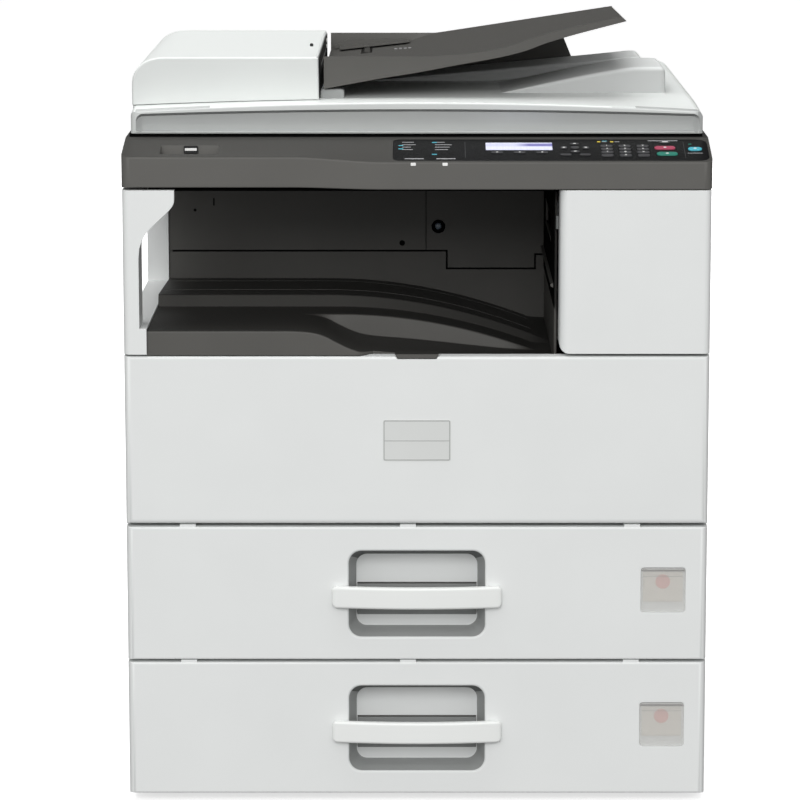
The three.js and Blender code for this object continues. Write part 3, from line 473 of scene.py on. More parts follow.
# Near-black for dark joints, and painted shade in the lid's gap, on the bay's ceiling and right wall, and in
# the bay's holes.
SEAM_AND_SHADE = moulded("dark_joint_and_painted_shade", (9, 9, 9), 0.85, 0.05, 0.6, 0.2, 0.02)
# Painted light and shade: the document stops are darker than the lid for shade on their fronts, and their top
# faces are lightened.
STOP_PAINTED_LIGHT_AND_SHADE = moulded("document_stop_painted_light_and_shade", (184, 186, 185), 0.5, 0.012, 0.5, 0.15, 0.35, facing=1.5)
# Painted shade: the hollow under the lid's lip, in a darker grey.
COVE_SHADE = moulded("lid_cove_painted_shade", (182, 184, 183), 0.5, 0.012, 0.5, 0.15, 0.3)
# Painted shade: the charcoal's upward faces, such as the operation panel's slope, are darkened.
CHARCOAL = moulded("charcoal_moulding", (99, 98, 95), 0.5, 0.03, 0.5, 0.25, 0.15, facing=0.46)
# Painted shade: the document tray's upward faces are darkened.
TRAY_CHARCOAL = moulded("document_tray_plastic", (89, 88, 85), 0.45, 0.03, 0.5, 0.25, 0.2, facing=0.72)
BAY = moulded("bay_moulding", (80, 79, 76), 0.55, 0.05, 0.6, 0.35, 0.3)
# Painted shade: the output tray's upward faces are darkened strongly.
OUTPUT = moulded("output_tray_plastic", (88, 87, 84), 0.5, 0.04, 0.6, 0.35, 0.2, facing=0.34)
PANEL = moulded("panel_film", (17, 17, 18), 0.3, 0.04, 0.3, 0.1, 0.08)
BLACK = moulded("black_plastic", (24, 24, 25), 0.5, 0.05, 0.5, 0.3, 0.4)
TRAY_GREY = moulded("paper_box_plastic", (140, 143, 142), 0.55, 0.03, 0.6, 0.3, 0.35)
WHITE = moulded("white_part", (240, 240, 238), 0.6, 0.02, 0.6, 0.2, 0.3)
RUBBER = moulded("rubber", (32, 32, 32), 0.8, 0.06, 0.8, 0.5, 0.2)
KEY_GREY = moulded("key_grey_plastic", (60, 60, 62), 0.45, 0.04, 0.3, 0.1, 0.4)
KEY_PRINT = moulded("grey_print", (150, 150, 152), 0.5, 0.06, 0.4, 0.1, 0.3)
PRINT_PALE = moulded("pale_print", (214, 214, 212), 0.5, 0.04, 0.4, 0.1, 0.3)
GREEN = moulded("green_key_plastic", (34, 116, 100), *GLOSSY)
RED = moulded("red_key_plastic", (158, 62, 86), *GLOSSY)
CYAN = moulded("cyan_key_plastic", (70, 166, 184), *GLOSSY)
YELLOW = moulded("yellow_print", (214, 190, 66), *PRINT)
TEAL = moulded("teal_print", (74, 160, 176), *PRINT)
CARD = moulded("size_card_paper", (226, 222, 214), 0.75, 0.02, 0.4, 0.15, 0.2)
PINK = moulded("pink_print", (224, 178, 170), 0.7, 0.03, 0.4, 0.1, 0.2)
BADGE = moulded("badge_plastic", (217, 219, 217), 0.35, 0.015, 0.4, 0.1, 0.5)
LINE = moulded("fine_line_print", (176, 178, 176), 0.5, 0.05, 0.4, 0.1, 0.3)
KNOB = moulded("knob_plastic", (92, 104, 116), 0.3, 0.05, 0.4, 0.1, 0.5)
METAL = brushed("zinc_plated_steel", (178, 182, 184))
DRUM = moulded("drum_coating", (48, 128, 104), 0.18, 0.04, 0.4, 0.05, 0.5, coat=0.6)
SCREEN = display_material()
GLASS = glassy("exposure_glass_sheet", (214, 230, 226), 0.3)
CLEAR = glassy("clear_window_plastic", (222, 221, 218), 0.28, 0.12)


# ---- carried-over CAD nodes
ROUNDED = (  # material, {start of a node's name: edge radius in mm}
    (LIGHT, {"lower_cabinet": 1.0, "right_side_panel": 0.8, "rear_cover": 0.8, "upper_front_cover": 1.6,
             "right_door": 1.0, "bypass_tray": 0.8}),
    (LEFT, {"left_cover": 1.2}),
    (TRAY_GREY, {"bypass_extension": 0.4, "drawer_1_paper_box": 0.8, "drawer_2_paper_box": 0.8}),
    (METAL, {"main_frame": 0.4, "lid_hinge": 1.0, "drawer_1_lift_plate": 0.4, "drawer_2_lift_plate": 0.4}),
    (BLACK, {"power_inlet": 0.6, "full_rate_carriage": 1.0, "half_rate_carriage": 1.0, "fuser_roller": 0.5}),
    (WHITE, {"platen_pad": 1.5, "toner_bottle": 1.5}),
    (RUBBER, {"foot": 1.0, "feed_roller": 0.6}),
    (BAY, {"bay_liner": 0.5}),
    (GLASS, {"exposure_glass": 0.3}),
    (PANEL, {"control_panel": 0.25}),
    (SCREEN, {"display": 0.2}),
    (DRUM, {"photoconductor_drum": 0.5}),
    (TRAY_CHARCOAL, {"document_guide": 0.7}),
)


def dress(node, material, width):
    """Gives a CAD node its material and rounds its edges with modifiers, without a change to its mesh."""
    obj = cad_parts[node]
    obj.data.materials.clear()
    obj.data.materials.append(material)
    weld = obj.modifiers.new("weld", "WELD")
    weld.merge_threshold = 1e-6
    flat = obj.modifiers.new("flat", "DECIMATE")
    flat.decimate_type = "DISSOLVE"
    flat.angle_limit = math.radians(0.8)
    soften(obj, width, 3)


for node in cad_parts:
    for material, widths in ROUNDED:
        for start, width in widths.items():
            if node.startswith(start):
                dress(node, material, width)


# ---- the slope of the operation panel
def on_slope(p):
    """A point (x, up the slope, out of it) of the operation panel."""
    x, s, out = p
    c, k = math.cos(SLOPE_ANGLE), math.sin(SLOPE_ANGLE)
    return (x, FRONT + s * c - out * k, SLOPE_FOOT + s * k + out * c)


# ---- scanner housing
def brow_share(x):
    return smoothstep((x + 125) / 92)


def panel_outline():
    return fillet([(-24, 3.5, 7), (291, 3.5, 11), (291, 65.5, 11), (-24, 65.5, 7)], 7)


def scanner_housing():
    plain = {-293.5, 293.5, *spread(-290, -160, 4), *spread(10, 290, 6)}
    stations = sorted({*plain, *spread(-150, -10, 36)})
    rings = []
    for x in stations:
        t = brow_share(x)
        low = SCAN_BOTTOM + 2.2 * (1 - t)
        brow = 661.4 + (SLOPE_FOOT - 661.4) * t
        section = [
            (262, SCAN_BOTTOM + 2.2, 0.1), (262, SCAN_TOP, 1.5), (LID_FRONT, SCAN_TOP, 2), (FRONT, brow, 2.4),
            (FRONT, low, 1.2), (FRONT + 20, SCAN_BOTTOM + 2.2, 0.1),
        ]
        rings.append([(x, y, z) for y, z in fillet(section, 4)])
    body = loft("scanner_housing_fine", rings)
    plan = fillet([(-293.5, FRONT, 9), (293.5, FRONT, 9), (293.5, 262, 2), (-293.5, 262, 2)], 8)
    keep_inside(body, prism("plan", plan, "z", 600, 700))
    pocket = prism("pocket", panel_outline(), "z", -5, 8, on_slope)
    seam = prism("seam", [(-400, 67.2), (400, 67.2), (400, 68.0), (-400, 68.0)], "z", -0.9, 5, on_slope)
    recess = loft(
        "recess",
        [[(x, y, z) for x, y in rounded_rect(-256 - g, -197 + g, FRONT + 9 - g, FRONT + 40 + g, 1.5, 3)]
         for z, g in ((658.5, -1.0), (690, 2.0))],
    )
    bed = block("bed", -272, 272, -186, 246, SCAN_BOTTOM + 8, SCAN_TOP + 1)
    rebate = block("rebate", -276, 276, -190, 250, SCAN_TOP - 4, SCAN_TOP + 1)
    carve(body, pocket, seam, recess, bed, rebate)
    finish(body, CHARCOAL, "chassis", "charcoal_plastic", 0.35, 2, 50, ["scanner_housing"])


def usb_socket():
    """A socket in the recess's back wall, facing the user."""
    wall = FRONT + 40
    shell = prism("usb_socket", rounded_rect(-233, -219, 661, 668.4, 0.8, 3), "y", wall - 3.4, wall + 1)
    carve(shell, prism("mouth", rounded_rect(-232.2, -219.8, 662.4, 667.4, 0.5, 3), "y", wall - 4, wall - 1))
    finish(shell, BLACK, "chassis", "panel_black", 0.2, 2)
    tongue = block("usb_tongue", -232, -220, wall - 3.5, wall - 0.8, 663.6, 666.2)
    finish(tongue, WHITE, "chassis", "white_parts", 0.2, 2)


def panel_details():
    out = -0.2
    slots = {PRINT_PALE: "white_parts", TEAL: "key_cyan", GREEN: "key_green"}

    def mark(name, x0, x1, s0, s1, material, high=0.25, radius=0.5, bevel=0.08):
        radius = min(radius, (x1 - x0) / 2.2, (s1 - s0) / 2.2)
        piece = prism(name, rounded_rect(x0, x1, s0, s1, radius, 3), "z", out - 0.05, out + high, on_slope)
        finish(piece, material, "chassis", slots.get(material, "key_grey"), bevel, 2)

    # Divider lines, light windows and printed marks. Every mark is a plain bar or dot.
    for i, x in enumerate((48, 267)):
        mark(f"panel_divider_{i + 1}", x, x + 0.5, 12, 58, KEY_GREY, 0.08, 0.2, 0.03)
    for i, x in enumerate((-6.2, 25.3)):
        outline = rounded_rect(x, x + 5.2, 652.6, 655.6, 0.7, 3)
        name = f"status_light_{i + 1}"
        front_piece(name, outline, FRONT - 0.3, FRONT + 1.5, WHITE, "chassis", "white_parts", 0.15)
        mark(f"status_print_{i + 1}", x - 6, x + 13, 8.5, 11, KEY_PRINT, 0.08)
    rows = ((56, 12, 10), (49, 14, 17), (42, 9, 15), (35, 11, 13))
    for column, x in enumerate((-15, 18)):
        for row, (s, a, b) in enumerate(rows):
            mark(f"function_print_{column + 1}_{row + 1}", x, x + (a, b)[column], s, s + 1.5, KEY_PRINT, 0.08)
    for i, (x, s) in enumerate(((-18.5, 46), (-18.5, 36.5), (15, 55), (15, 21))):
        mark(f"teal_mark_{i + 1}", x, x + 5, s, s + 2.4, TEAL, 0.1)
    for i in range(3):
        x = 80 + 22.5 * i
        mark(f"soft_key_{i + 1}", x - 6, x + 6, 24.5, 29, KEY_GREY, 0.8, 2, 0.3)
        mark(f"soft_key_print_{i + 1}", x - 1, x + 1, 26, 27.6, PRINT_PALE, 0.95, 0.8, 0.05)
    arrows = ((158, 51, 4.5, 2.3), (158, 29, 4.5, 2.3), (147, 40, 3.2, 3.2), (169, 40, 3.2, 3.2))
    for i, (x, s, a, b) in enumerate(arrows):
        mark(f"arrow_key_{i + 1}", x - a, x + a, s - b, s + b, KEY_GREY, 0.9, 2, 0.3)
        mark(f"arrow_print_{i + 1}", x - 1.4, x + 1.4, s - 0.8, s + 0.8, PRINT_PALE, 1.05, 0.7, 0.05)
    mark("confirm_key", 153.8, 162.2, 36.6, 43.4, KEY_GREY, 1.0, 3, 0.3)
    for i, x in enumerate((148.4, 167.6)):
        mark(f"side_key_{i + 1}", x - 5.5, x + 5.5, 18, 23, KEY_GREY, 0.8, 2.2, 0.3)
    for i, x in enumerate((181, 194)):
        mark(f"yellow_mark_{i + 1}", x, x + 3.4, 57, 59.6, YELLOW, 0.1)
        mark(f"yellow_print_{i + 1}", x + 4.6, x + 9.4, 57.6, 59, KEY_PRINT, 0.08)
    mark("reset_key", 243, 254, 53.2, 58, KEY_GREY, 0.8, 2.2, 0.3)
    mark("reset_print_1", 232, 262, 60.2, 62, KEY_PRINT, 0.08)
    mark("reset_print_2", 246, 252, 55, 57, PRINT_PALE, 0.95, 0.8, 0.05)
    mark("yellow_bridge", 186, 191, 59.4, 61, TEAL, 0.1)
    mark("power_light", 272, 275.4, 50, 52, GREEN, 0.3, 0.8, 0.1)
    mark("power_print", 270, 285, 25, 26.4, KEY_PRINT, 0.08)


NAMED_KEYS = {  # place, size, corner radius, material and slot
    "key_stop": ((248, 40, 21, 9, 4.2), RED, "key_red"),
    "key_start": ((249.5, 23, 21, 9.5, 4.4), GREEN, "key_green"),
    "key_power": ((278, 37, 14, 9, 4.2), CYAN, "key_cyan"),
}


def number_keys():
    """Each key has a soft crowned top over the height of its CAD solid."""
    order = ["1", "2", "3", "4", "5", "6", "7", "8", "9", "star", "0", "hash"]
    for name in [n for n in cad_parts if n.startswith("key_")]:
        if name in NAMED_KEYS:
            (x, s, w, h, r), material, slot = NAMED_KEYS[name]
        else:
            i = order.index(name[4:])
            x, s, w, h, r = 190 + (i % 3) * 18, 45.2 - (i // 3) * 8.9, 12.5, 5.6, 2.4
            material, slot = KEY_GREY, "key_grey"
        rings = []
        for shrink, out in ((0, -2.3), (0, 0.1), (0.15, 0.45), (0.5, 0.68), (1.1, 0.78), (1.9, 0.8)):
            u, v = w / 2 - shrink, h / 2 - shrink
            outline = rounded_rect(x - u, x + u, s - v, s + v, max(r - shrink, 0.4), 5)
            rings.append([(a, b, out) for a, b in outline])
        key = loft(f"{name}_cap", rings, on_slope)
        finish(key, material, name, slot, replaces=[name])
        label = name[4:]
        if label.isdigit():
            text = bpy.data.curves.new(f"{name}_digit", "FONT")
            text.body = label
            text.size = 4.6 * MM
            text.align_x = text.align_y = "CENTER"
            text.extrude = 0.04 * MM
            text.materials.append(PRINT_PALE)
            digit = bpy.data.objects.new(f"{name}_digit", text)
            scene.collection.objects.link(digit)
            place = Matrix.Translation([c * MM for c in on_slope((x, s, 0.82))])
            digit.matrix_world = place @ Matrix.Rotation(SLOPE_ANGLE, 4, "X")
            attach(digit, name)
        elif name in NAMED_KEYS:
            outline = rounded_rect(x - 1.6, x + 1.6, s - 1.3, s + 1.3, 1.2, 4)
            plate = prism(f"{name}_print", outline, "z", 0.78, 0.86, on_slope)
            finish(plate, PRINT_PALE, name, "white_parts")


# ---- lid
def lid_top(x, y):
    """The lid's top: it falls towards the front, more at its ends, and rounds over at the right."""
    share = smoothstep((LID_FALL - y) / (LID_FALL - LID_FRONT))
    drop = (1 + 9 * (x / LID_HALF) ** 2) * share
    radius = LID_ROUND + (LID_ROUND_FRONT - LID_ROUND) * share
    over = max(0, x - (LID_HALF - radius))
    side = radius - math.sqrt(max(0, radius**2 - over**2))
    return LID_TOP - drop - min(side, radius * 0.8)


def lid():
    stations = sorted({-LID_HALF, *spread(-LID_HALF + 0.6, -LID_HALF + 5, 4), *spread(-280, 268, 24),
                       *spread(270, LID_HALF - 0.2, 12), LID_HALF})
    rows = spread(LID_FALL, LID_FRONT + 3, 10)
    rings = []
    for x in stations:
        left = max(0, 5 - (x + LID_HALF))
        corner = 5 - math.sqrt(max(0, 25 - left**2)) if left else 0
        lip = lid_top(x, LID_FRONT) - corner
        rear = lid_top(x, 0) - corner
        ring = [(x, LID_REAR, LID_BOTTOM), (x, LID_REAR, rear - 5)]
        ring += [(x, LID_REAR - 1.5, rear - 1.5), (x, LID_REAR - 5, rear)]
        ring += [(x, y, lid_top(x, y) - corner) for y in rows]
        radius = 2.2
        for k in range(6):
            a = math.radians(90 + 18 * k)
            ring.append((x, LID_FRONT + radius + radius * math.cos(a), lip - radius + radius * math.sin(a)))
        ring += [(x, LID_FRONT + 0.1, LID_BOTTOM + 2), (x, LID_FRONT + 1.4, LID_BOTTOM)]
        rings.append(ring)
    body = loft("platen_lid_fine", rings)
    front = [(-LID_HALF, LID_FRONT, 7), (LID_HALF, LID_FRONT, 9)]
    rear = [(LID_HALF, LID_REAR, 12), (-LID_HALF, LID_REAR, 12)]
    keep_inside(body, prism("plan", fillet(front + rear, 8), "z", 600, 800))

    # The cove along the front: an undercut below the lip and a hollow under it, with rounded ends.
    left_end, right_end, corner = 5.5 - LID_HALF, LID_HALF - 3.2, 7
    ends = [corner * (1 - math.sin(math.radians(a))) for a in range(0, 91, 15)]
    xs = sorted({left_end + e for e in ends} | {right_end - e for e in ends} | set(spread(-270, 270, 31)))
    cove = []
    for x in xs:
        into = corner - min(corner, x - left_end, right_end - x)
        fall = corner - math.sqrt(max(0, corner**2 - into**2))
        low = LID_BOTTOM + 1.4 + 0.3 * fall
        lip_foot = LID_TOP - 7.8 - 5.1 * (x / LID_HALF) ** 2
        top = max(lip_foot - fall, low + 4)
        high = top - 2 - low
        deep = 3 + 8 * smoothstep(1 - into / corner)
        groove = LID_FRONT + 3.5 + 5.5 * smoothstep(1 - into / corner)
        face = [(LID_FRONT + share * deep, z) for share, z in (
            (0.45, top - 2.8), (0.6, low + 0.7 * high), (0.77, low + 0.45 * high), (0.92, low + 0.2 * high),
            (1, low + 0.05 * high), (0.9, low),
        )]
        under_lip = [(LID_FRONT - 5, top), (LID_FRONT + 0.4, top), (groove, top), (groove, top - 2.4)]
        cove.append([(x, y, z) for y, z in (*under_lip, *face, (LID_FRONT - 5, low - 0.01))])
    carve(body, loft("cove", cove))
    y0, y1 = FEEDER_FRONT + 3.6, FEEDER_BACK - 3.6
    merge(body, block("base", FEEDER_LEFT + 0.6, FEEDER_RIGHT - 3.5, y0, y1, 699, FEEDER_SPLIT - 2.2))
    pad = block("pad", -264, 264, -192, 252, LID_BOTTOM - 1, LID_BOTTOM + 4.6)
    throat = block("throat", FEEDER_LEFT + 20, FEEDER_RIGHT - 20, y0 + 20, y1 - 20, 714, FEEDER_SPLIT + 1)
    notch = (258, LID_REAR + 5, LID_BOTTOM - 5, 715)
    notches = [block(f"notch{x}", x - 23.5, x + 23.5, *notch) for x in (-180, 180)]
    carve(body, pad, throat, *notches)
    finish(body, LIGHT_LID, "lid", "light_casing", 0.5, 2, 50, ["platen_lid"])
    # Painted shade: the cove's faces below the lip take a darker grey.
    body.data.materials.append(COVE_SHADE)
    for face in body.data.polygons:
        x, y, z = (c / MM for c in face.center)
        in_cove = LID_FRONT + 0.5 < y < LID_FRONT + 12 and LID_BOTTOM + 1.5 < z < LID_TOP - 6
        if in_cove and left_end < x < right_end:
            face.material_index = 1


def document_stops():
    """Two wedges that rise to the right, with a finger channel between them."""
    for name, y0, y1, left, right, flat, high, fall in (
        ("front", -116, 8, 84, 256, 223, 736.6, 0.5), ("rear", 24, 112, -60, 243, 228, 736, 4),
    ):
        rise = [(left, LID_TOP - 0.6), (flat - 6, high - 0.9), (flat + 2, high)]
        rise += [(right - 8, high), (right, high - fall)]
        slope = [left, *spread(left + 6, flat - 10, 14), flat - 5, flat]
        rings = []
        for x in [*slope, *spread(flat + 5, right - 5, 4), *(right - gap for gap in (3.6, 2.2, 1, 0.3, 0))]:
            end = max(0, x - (right - 5)) / 5
            rounding = 1 - math.sqrt(max(0, 1 - end**2))
            top = curve_through(rise, x) - 5 * rounding
            tuck = 2.5 * rounding
            radius = min(5, max(0.2, (top - 709) * 0.4))
            section = [(y0 + tuck, 700), (y0 + tuck, top, radius), (y1 - tuck, top, radius), (y1 - tuck, 700)]
            rings.append([(x, y, z) for y, z in fillet(section, 6)])
        finish(loft(f"document_stop_{name}", rings), STOP_PAINTED_LIGHT_AND_SHADE, "lid", "light_casing")
    outline = [(84, 700), (232, 700), (226, 725), (84, LID_TOP + 0.3)]
    front_piece("document_stop_channel", outline, 6, 26, LIGHT_LID, "lid", "light_casing", 0.6)


def feeder_entry():
    """The pale block at the feeder's exit, and the dark plate with the slot that draws sheets in."""
    # Painted shadow: the block takes the darker grey in place of the document tray's shadow.
    outline = rounded_rect(-98.4, -74, LID_TOP - 4, LID_TOP + 8.5, 3.5)
    front_piece("feeder_exit_block", outline, -165, -145, PAINTED_SHADE_GREY, "lid", "light_casing", 1.5, 3)
    plate = block("feeder_entry_plate", -98.9, -98.4, -167, 150, 712, 751.2)
    carve(plate, block("slot", -100, -94, -112, 116, 735.5, 740.5))
    finish(plate, BLACK, "lid", "bay_plastic", 0.4, 2)
    profile = [(-0.2, 2.2), (0.7, 2.3), (1.2, 1.6)]
    for i, z in enumerate((741.3, 747.3)):
        roller = turned(f"entry_roller_{i + 1}", profile, (-98.5, 100, z), "x", 24)
        finish(roller, WHITE, "lid", "rubber")


def lid_gap_shade_strip():
    """Painted shadow: a near-black strip in the gap between the lid's front and the scanner."""
    outline = fillet([(-208, 674.2, 0.5), (-200, 674.2, 0.5), (-200, 677.2, 0.8), (-208, 677.2, 0.8)], 3)
    finish(prism("lid_gap_shade_strip", outline, "x", -290, 288), SEAM_AND_SHADE, "chassis", "rubber")


# ---- sheet feeder
def feeder_outline(wall, base):
    """The cover's section, with its wall this thick, from its foot at base up over its round left side."""
    left, right, top = FEEDER_LEFT + wall, FEEDER_RIGHT - wall, FEEDER_TOP - wall
    handles = [(left, FEEDER_SPLIT), (left, FEEDER_SPLIT + 18), (left + 13.5, top), (left + 34, top)]
    p = [Vector(v) for v in handles]
    outline = [(left, base)]
    for k in range(17):
        t = k / 16
        point = (1 - t) ** 3 * p[0] + 3 * (1 - t) ** 2 * t * p[1] + 3 * (1 - t) * t**2 * p[2] + t**3 * p[3]
        outline.append(tuple(point))
    return outline + fillet([(FEEDER_RIGHT - 60, top), (right - 1, top, 3), (right, base)], 4)[1:]


def feeder_cover():
    body = prism("feeder_cover_fine", feeder_outline(0, LID_TOP - 20), "y", FEEDER_FRONT, FEEDER_BACK)
    add_bevel(body, 2.2, 4, 50)
    bake(body)
    # The front and back walls follow the lid's top; the rest of the cover ends at the split.
    edges = spread(FEEDER_RIGHT + 5, FEEDER_LEFT - 5, 12)
    for y0, y1 in ((FEEDER_FRONT - 1, FEEDER_FRONT + 3), (FEEDER_BACK - 3, FEEDER_BACK + 1)):
        limit = [(x, max(lid_top(x, y0), lid_top(x, y1)) + 0.6) for x in edges]
        carve(body, prism("under", [(FEEDER_LEFT - 5, 600), (FEEDER_RIGHT + 5, 600), *limit], "y", y0, y1))
    carve(body, prism("inner", feeder_outline(3, 680), "y", FEEDER_FRONT + 3, FEEDER_BACK - 3))
    inside = (FEEDER_FRONT + 3, FEEDER_BACK - 3)
    carve(body, block("below", FEEDER_LEFT - 5, FEEDER_RIGHT + 5, *inside, 670, FEEDER_SPLIT))
    finish(body, FEEDER, "feeder_cover", "light_casing", 0.3, 2, 60, ["feeder_cover"])
    dome = [(0, 1.8), (2.2, 1.8), (3.0, 1.4), (3.3, 0.6)]
    lamp = turned("feeder_lamp", dome, (-110.5, -40, FEEDER_TOP - 0.15), "z", 20)
    finish(lamp, BLACK, "feeder_cover", "bay_plastic")


RIM = (  # x, rim top, underside, bed
    (-94.5, 752, 719, 734), (-40, 752, 729, 740), (0, 752, 735.5, 744.5), (40, 753.8, 743, 749.5),
    (85, 760, 751.2, 757.5), (110, 768, 757.5, 766), (130, 774.5, 765, 772.8), (155, 780.8, 772.5, 779.3),
    (212.5, 793.2, 787.6, 792),
)
TRAY_FRONT, TRAY_BACK, TRAY_LEVEL, TRAY_TIP, TRAY_TIP_BACK = -171, 150, 21, 212.5, 123.3
TIP_LEAN = 6.5  # the rim's top stops this much short of the tip


def tray_rear(x):
    along = max(0, (x - TRAY_LEVEL) / (TRAY_TIP - TRAY_LEVEL))
    return TRAY_BACK + (TRAY_TIP_BACK - TRAY_BACK) * along, 752 + 31.2 * along


def document_tray():
    tops, unders, beds = ([(row[0], row[k]) for row in RIM] for k in (1, 2, 3))
    rings = []
    for x in sorted({-94.5, TRAY_TIP, *spread(-93, 205, 46)}):
        lean = TIP_LEAN if x == TRAY_TIP else 0
        top, under, bed = (curve_through(points, x) for points in (tops, unders, beds))
        rear, rear_top = tray_rear(x)
        t = smoothstep((x - TRAY_LEVEL + 30) / 30)
        rear_bed = bed + (rear_top - 0.5 - bed) * t
        front_bed = bed + (min(top - 0.6, max(bed, top - 3)) - bed) * t
        across = []
        for k in range(1, 12):
            share = k / 12
            y = rear - 6 + (TRAY_FRONT + 13 - rear) * share
            across.append((x - lean * share, y, rear_bed + (front_bed - rear_bed) * share))
        rings.append([
            (x, rear, rear_bed - 9), (x, rear, rear_top), (x, rear - 5, rear_top), (x, rear - 6, rear_bed),
            *across, (x - lean, TRAY_FRONT + 7, front_bed), (x - lean, TRAY_FRONT + 5, top - 0.4),
            (x - lean, TRAY_FRONT, top), (x, TRAY_FRONT, under),
            (x, TRAY_FRONT + 12, max(under, front_bed - 9)),
        ])
    body = loft("document_tray_fine", rings)
    slots = [block(f"slot{s}", -60, -48, *sorted((2 + s * 37, 2 + s * 108)), 715, 760) for s in (-1, 1)]
    carve(body, *slots)
    finish(body, TRAY_CHARCOAL, "document_tray", "charcoal_plastic", 0.7, 2, 45, ["document_tray"])

    # The skirt under the rear edge, down to the lid.
    skirt = []
    foot = 710.8
    edge = ((-88, 732), (-40, 738), (21, 746), (158, 766))
    for x in [*spread(-88, 158, 20), *spread(160.7, 175.5, 6)]:
        line = tray_rear(x)[0] - 6
        slant = 748 - (x - 160.7) * (748 - foot) / (176 - 160.7)
        top = curve_through(edge, x) if x < 160 else max(slant, foot + 0.4)
        skirt.append([(x, line, foot), (x, line, top), (x, line - 4, top), (x, line - 4, foot)])
    dark = (TRAY_CHARCOAL, "document_tray", "charcoal_plastic")
    finish(loft("document_tray_skirt", skirt), *dark, 0.6, 2)
    below_slots = [(-67, 724.6), (-41, 728.0), (-41, 729.4), (-67, 726.2)]
    front_piece("document_tray_slot_cover", below_slots, -112, 116, *dark, 0.3, 1)
    for i in range(4):
        x, z = -24 + 5 * i, 742.5 + 0.3 * i
        bar = block(f"size_mark_{i + 1}", x, x + 3, 40, 41.2, z, z + 1.1)
        finish(bar, KEY_PRINT, "document_tray", "key_grey", 0.1, 1)


# ---- output tray
FIRST_TERRACE = (
    (-270, 487), (-130, 487), (-117, 486.6), (-103, 485), (-92, 481.7), (-82, 476.4), (-71, 471),
    (-62.5, 467.6), (-54, 465.3), (-43, 463.7), (-12, 461.2), (24, 457.6), (60, 453.6), (100, 450),
    (146, 448.8),
)


def third_terrace(x, y, least):
    return max(least, 499 - 7.6 * (y + 108) / 174 - 0.0009 * max(0, x + 95) ** 2)


def output_tray():
    left, right, base, foot = -269.6, 138.1, 446.2, 462
    rings = []
    for x in sorted({left, right, *spread(-265, -135, 6), *spread(-130, -30, 30), *spread(-25, 140, 18)}):
        first = curve_through(FIRST_TERRACE, x)
        second = max(448.6, 487 - 0.00093 * max(0, x + 80) ** 2, first + 0.02)
        third = [third_terrace(x, y, 448.8) for y in (-108, 65)]
        lip = curve_through(((-56, 0), (-44, 1)), x)
        front = FRONT + 2 + 18.5 * lip
        low = min(foot, first - 0.5) if lip < 1 else min(foot, first - 0.6)
        section = [
            (front, low, 0.1), (front, first, 2.2), (-166, first + 0.01, 2), (-163.5, second, 2.5),
            (-117.5, second, 2), (-108, third[0], 3), (65, third[1], 0.1), (65, base, 0.1),
            (-260, base, 0.1), (-260, low - 0.02, 0.1),
        ]
        rings.append([(x, y, z) for y, z in fillet(section, 3)])
    finish(loft("output_tray_fine", rings), OUTPUT, *IN_BAY, replaces=["output_tray"])
    for i, y in enumerate((-58, 35)):
        rib = []
        for x in spread(left + 2, 120, 30):
            z = third_terrace(x, y, 449)
            section = ((-1.2, -1), (-0.8, 0.25), (0.8, 0.25), (1.2, -1))
            rib.append([(x, y + across, z + up) for across, up in section])
        finish(loft(f"output_tray_rib_{i + 1}", rib), OUTPUT, *IN_BAY)


def bay_details():
    # The joint of the stepped access lid in the rear wall shows as a dark line.
    for i, (x0, x1, z0, z1) in enumerate((
        (-266, 33.6, 520.5, 522.5), (31.6, 33.6, 501, 522.5), (31.6, 129.6, 501, 503),
        (127.6, 129.6, 501, 518.6), (127.6, 138, 516.6, 518.6), (9.7, 10.3, 522.5, 620),
    )):
        line = block(f"bay_seam_{i + 1}", x0, x1, BAY_REAR - 0.2, BAY_REAR + 1, z0, z1)
        finish(line, SEAM_AND_SHADE, *IN_BAY, 0.15, 1)
    # Painted shade: the bay's ceiling is a near-black block.
    ceiling = block("bay_ceiling", -268, 138, PANEL_BACK, BAY_REAR, 625.4, 628.2)
    finish(ceiling, SEAM_AND_SHADE, *IN_BAY, 0.5, 2)
    # Painted shade: near-black fills the cup round the knob, the two holes and the slit in the rear wall.
    ring = [(3, 7.2), (-0.6, 7.4), (-1.2, 6.6), (-0.4, 5.2)]
    finish(turned("bay_knob_cup", ring, (23.5, BAY_REAR, 548), "y", 32), SEAM_AND_SHADE, *IN_BAY)
    tip = [(0, 3.9), (-3, 3.7), (-4.6, 2.9), (-5.2, 1.2)]
    finish(turned("bay_knob", tip, (23.5, BAY_REAR, 548.6), "y", 24), KNOB, *IN_BAY)
    for i, (x, z, r) in enumerate(((-16, 530, 3.0), (-241, 566, 1.6))):
        dot = turned(f"bay_hole_{i + 1}", [(-0.2, r), (0.1, r), (0.4, r * 0.8)], (x, BAY_REAR, z), "y", 20)
        finish(dot, SEAM_AND_SHADE, *IN_BAY)
    slit = block("bay_slit", -221.2, -219.8, BAY_REAR - 0.3, BAY_REAR + 0.4, 571, 579)
    finish(slit, SEAM_AND_SHADE, *IN_BAY, 0.1, 1)
    # Painted shade as a near-black sheet on the right wall, a ledge along that wall, and the latch at the
    # edge of the upper front cover.
    wall = block("bay_right_wall_shade", 137.7, 138.3, -250, BAY_REAR - 2, 505, 624)
    carve(wall, block("exit_slot", 130, 140, -160, 20, 558, 587))
    finish(wall, SEAM_AND_SHADE, *IN_BAY, 0.15, 1)
    outline = [(134.4, 528.2), (137.4, 529.6), (137.4, 524.6), (135, 525.6)]
    front_piece("bay_right_ledge", outline, -238, 58, CHARCOAL, *IN_BAY, 0.3)
    latch = block("bay_latch", 139.4, 142.2, -242, -237, 584.6, 598)
    finish(latch, TRAY_GREY, "chassis", "tray_plastic", 0.5, 2)


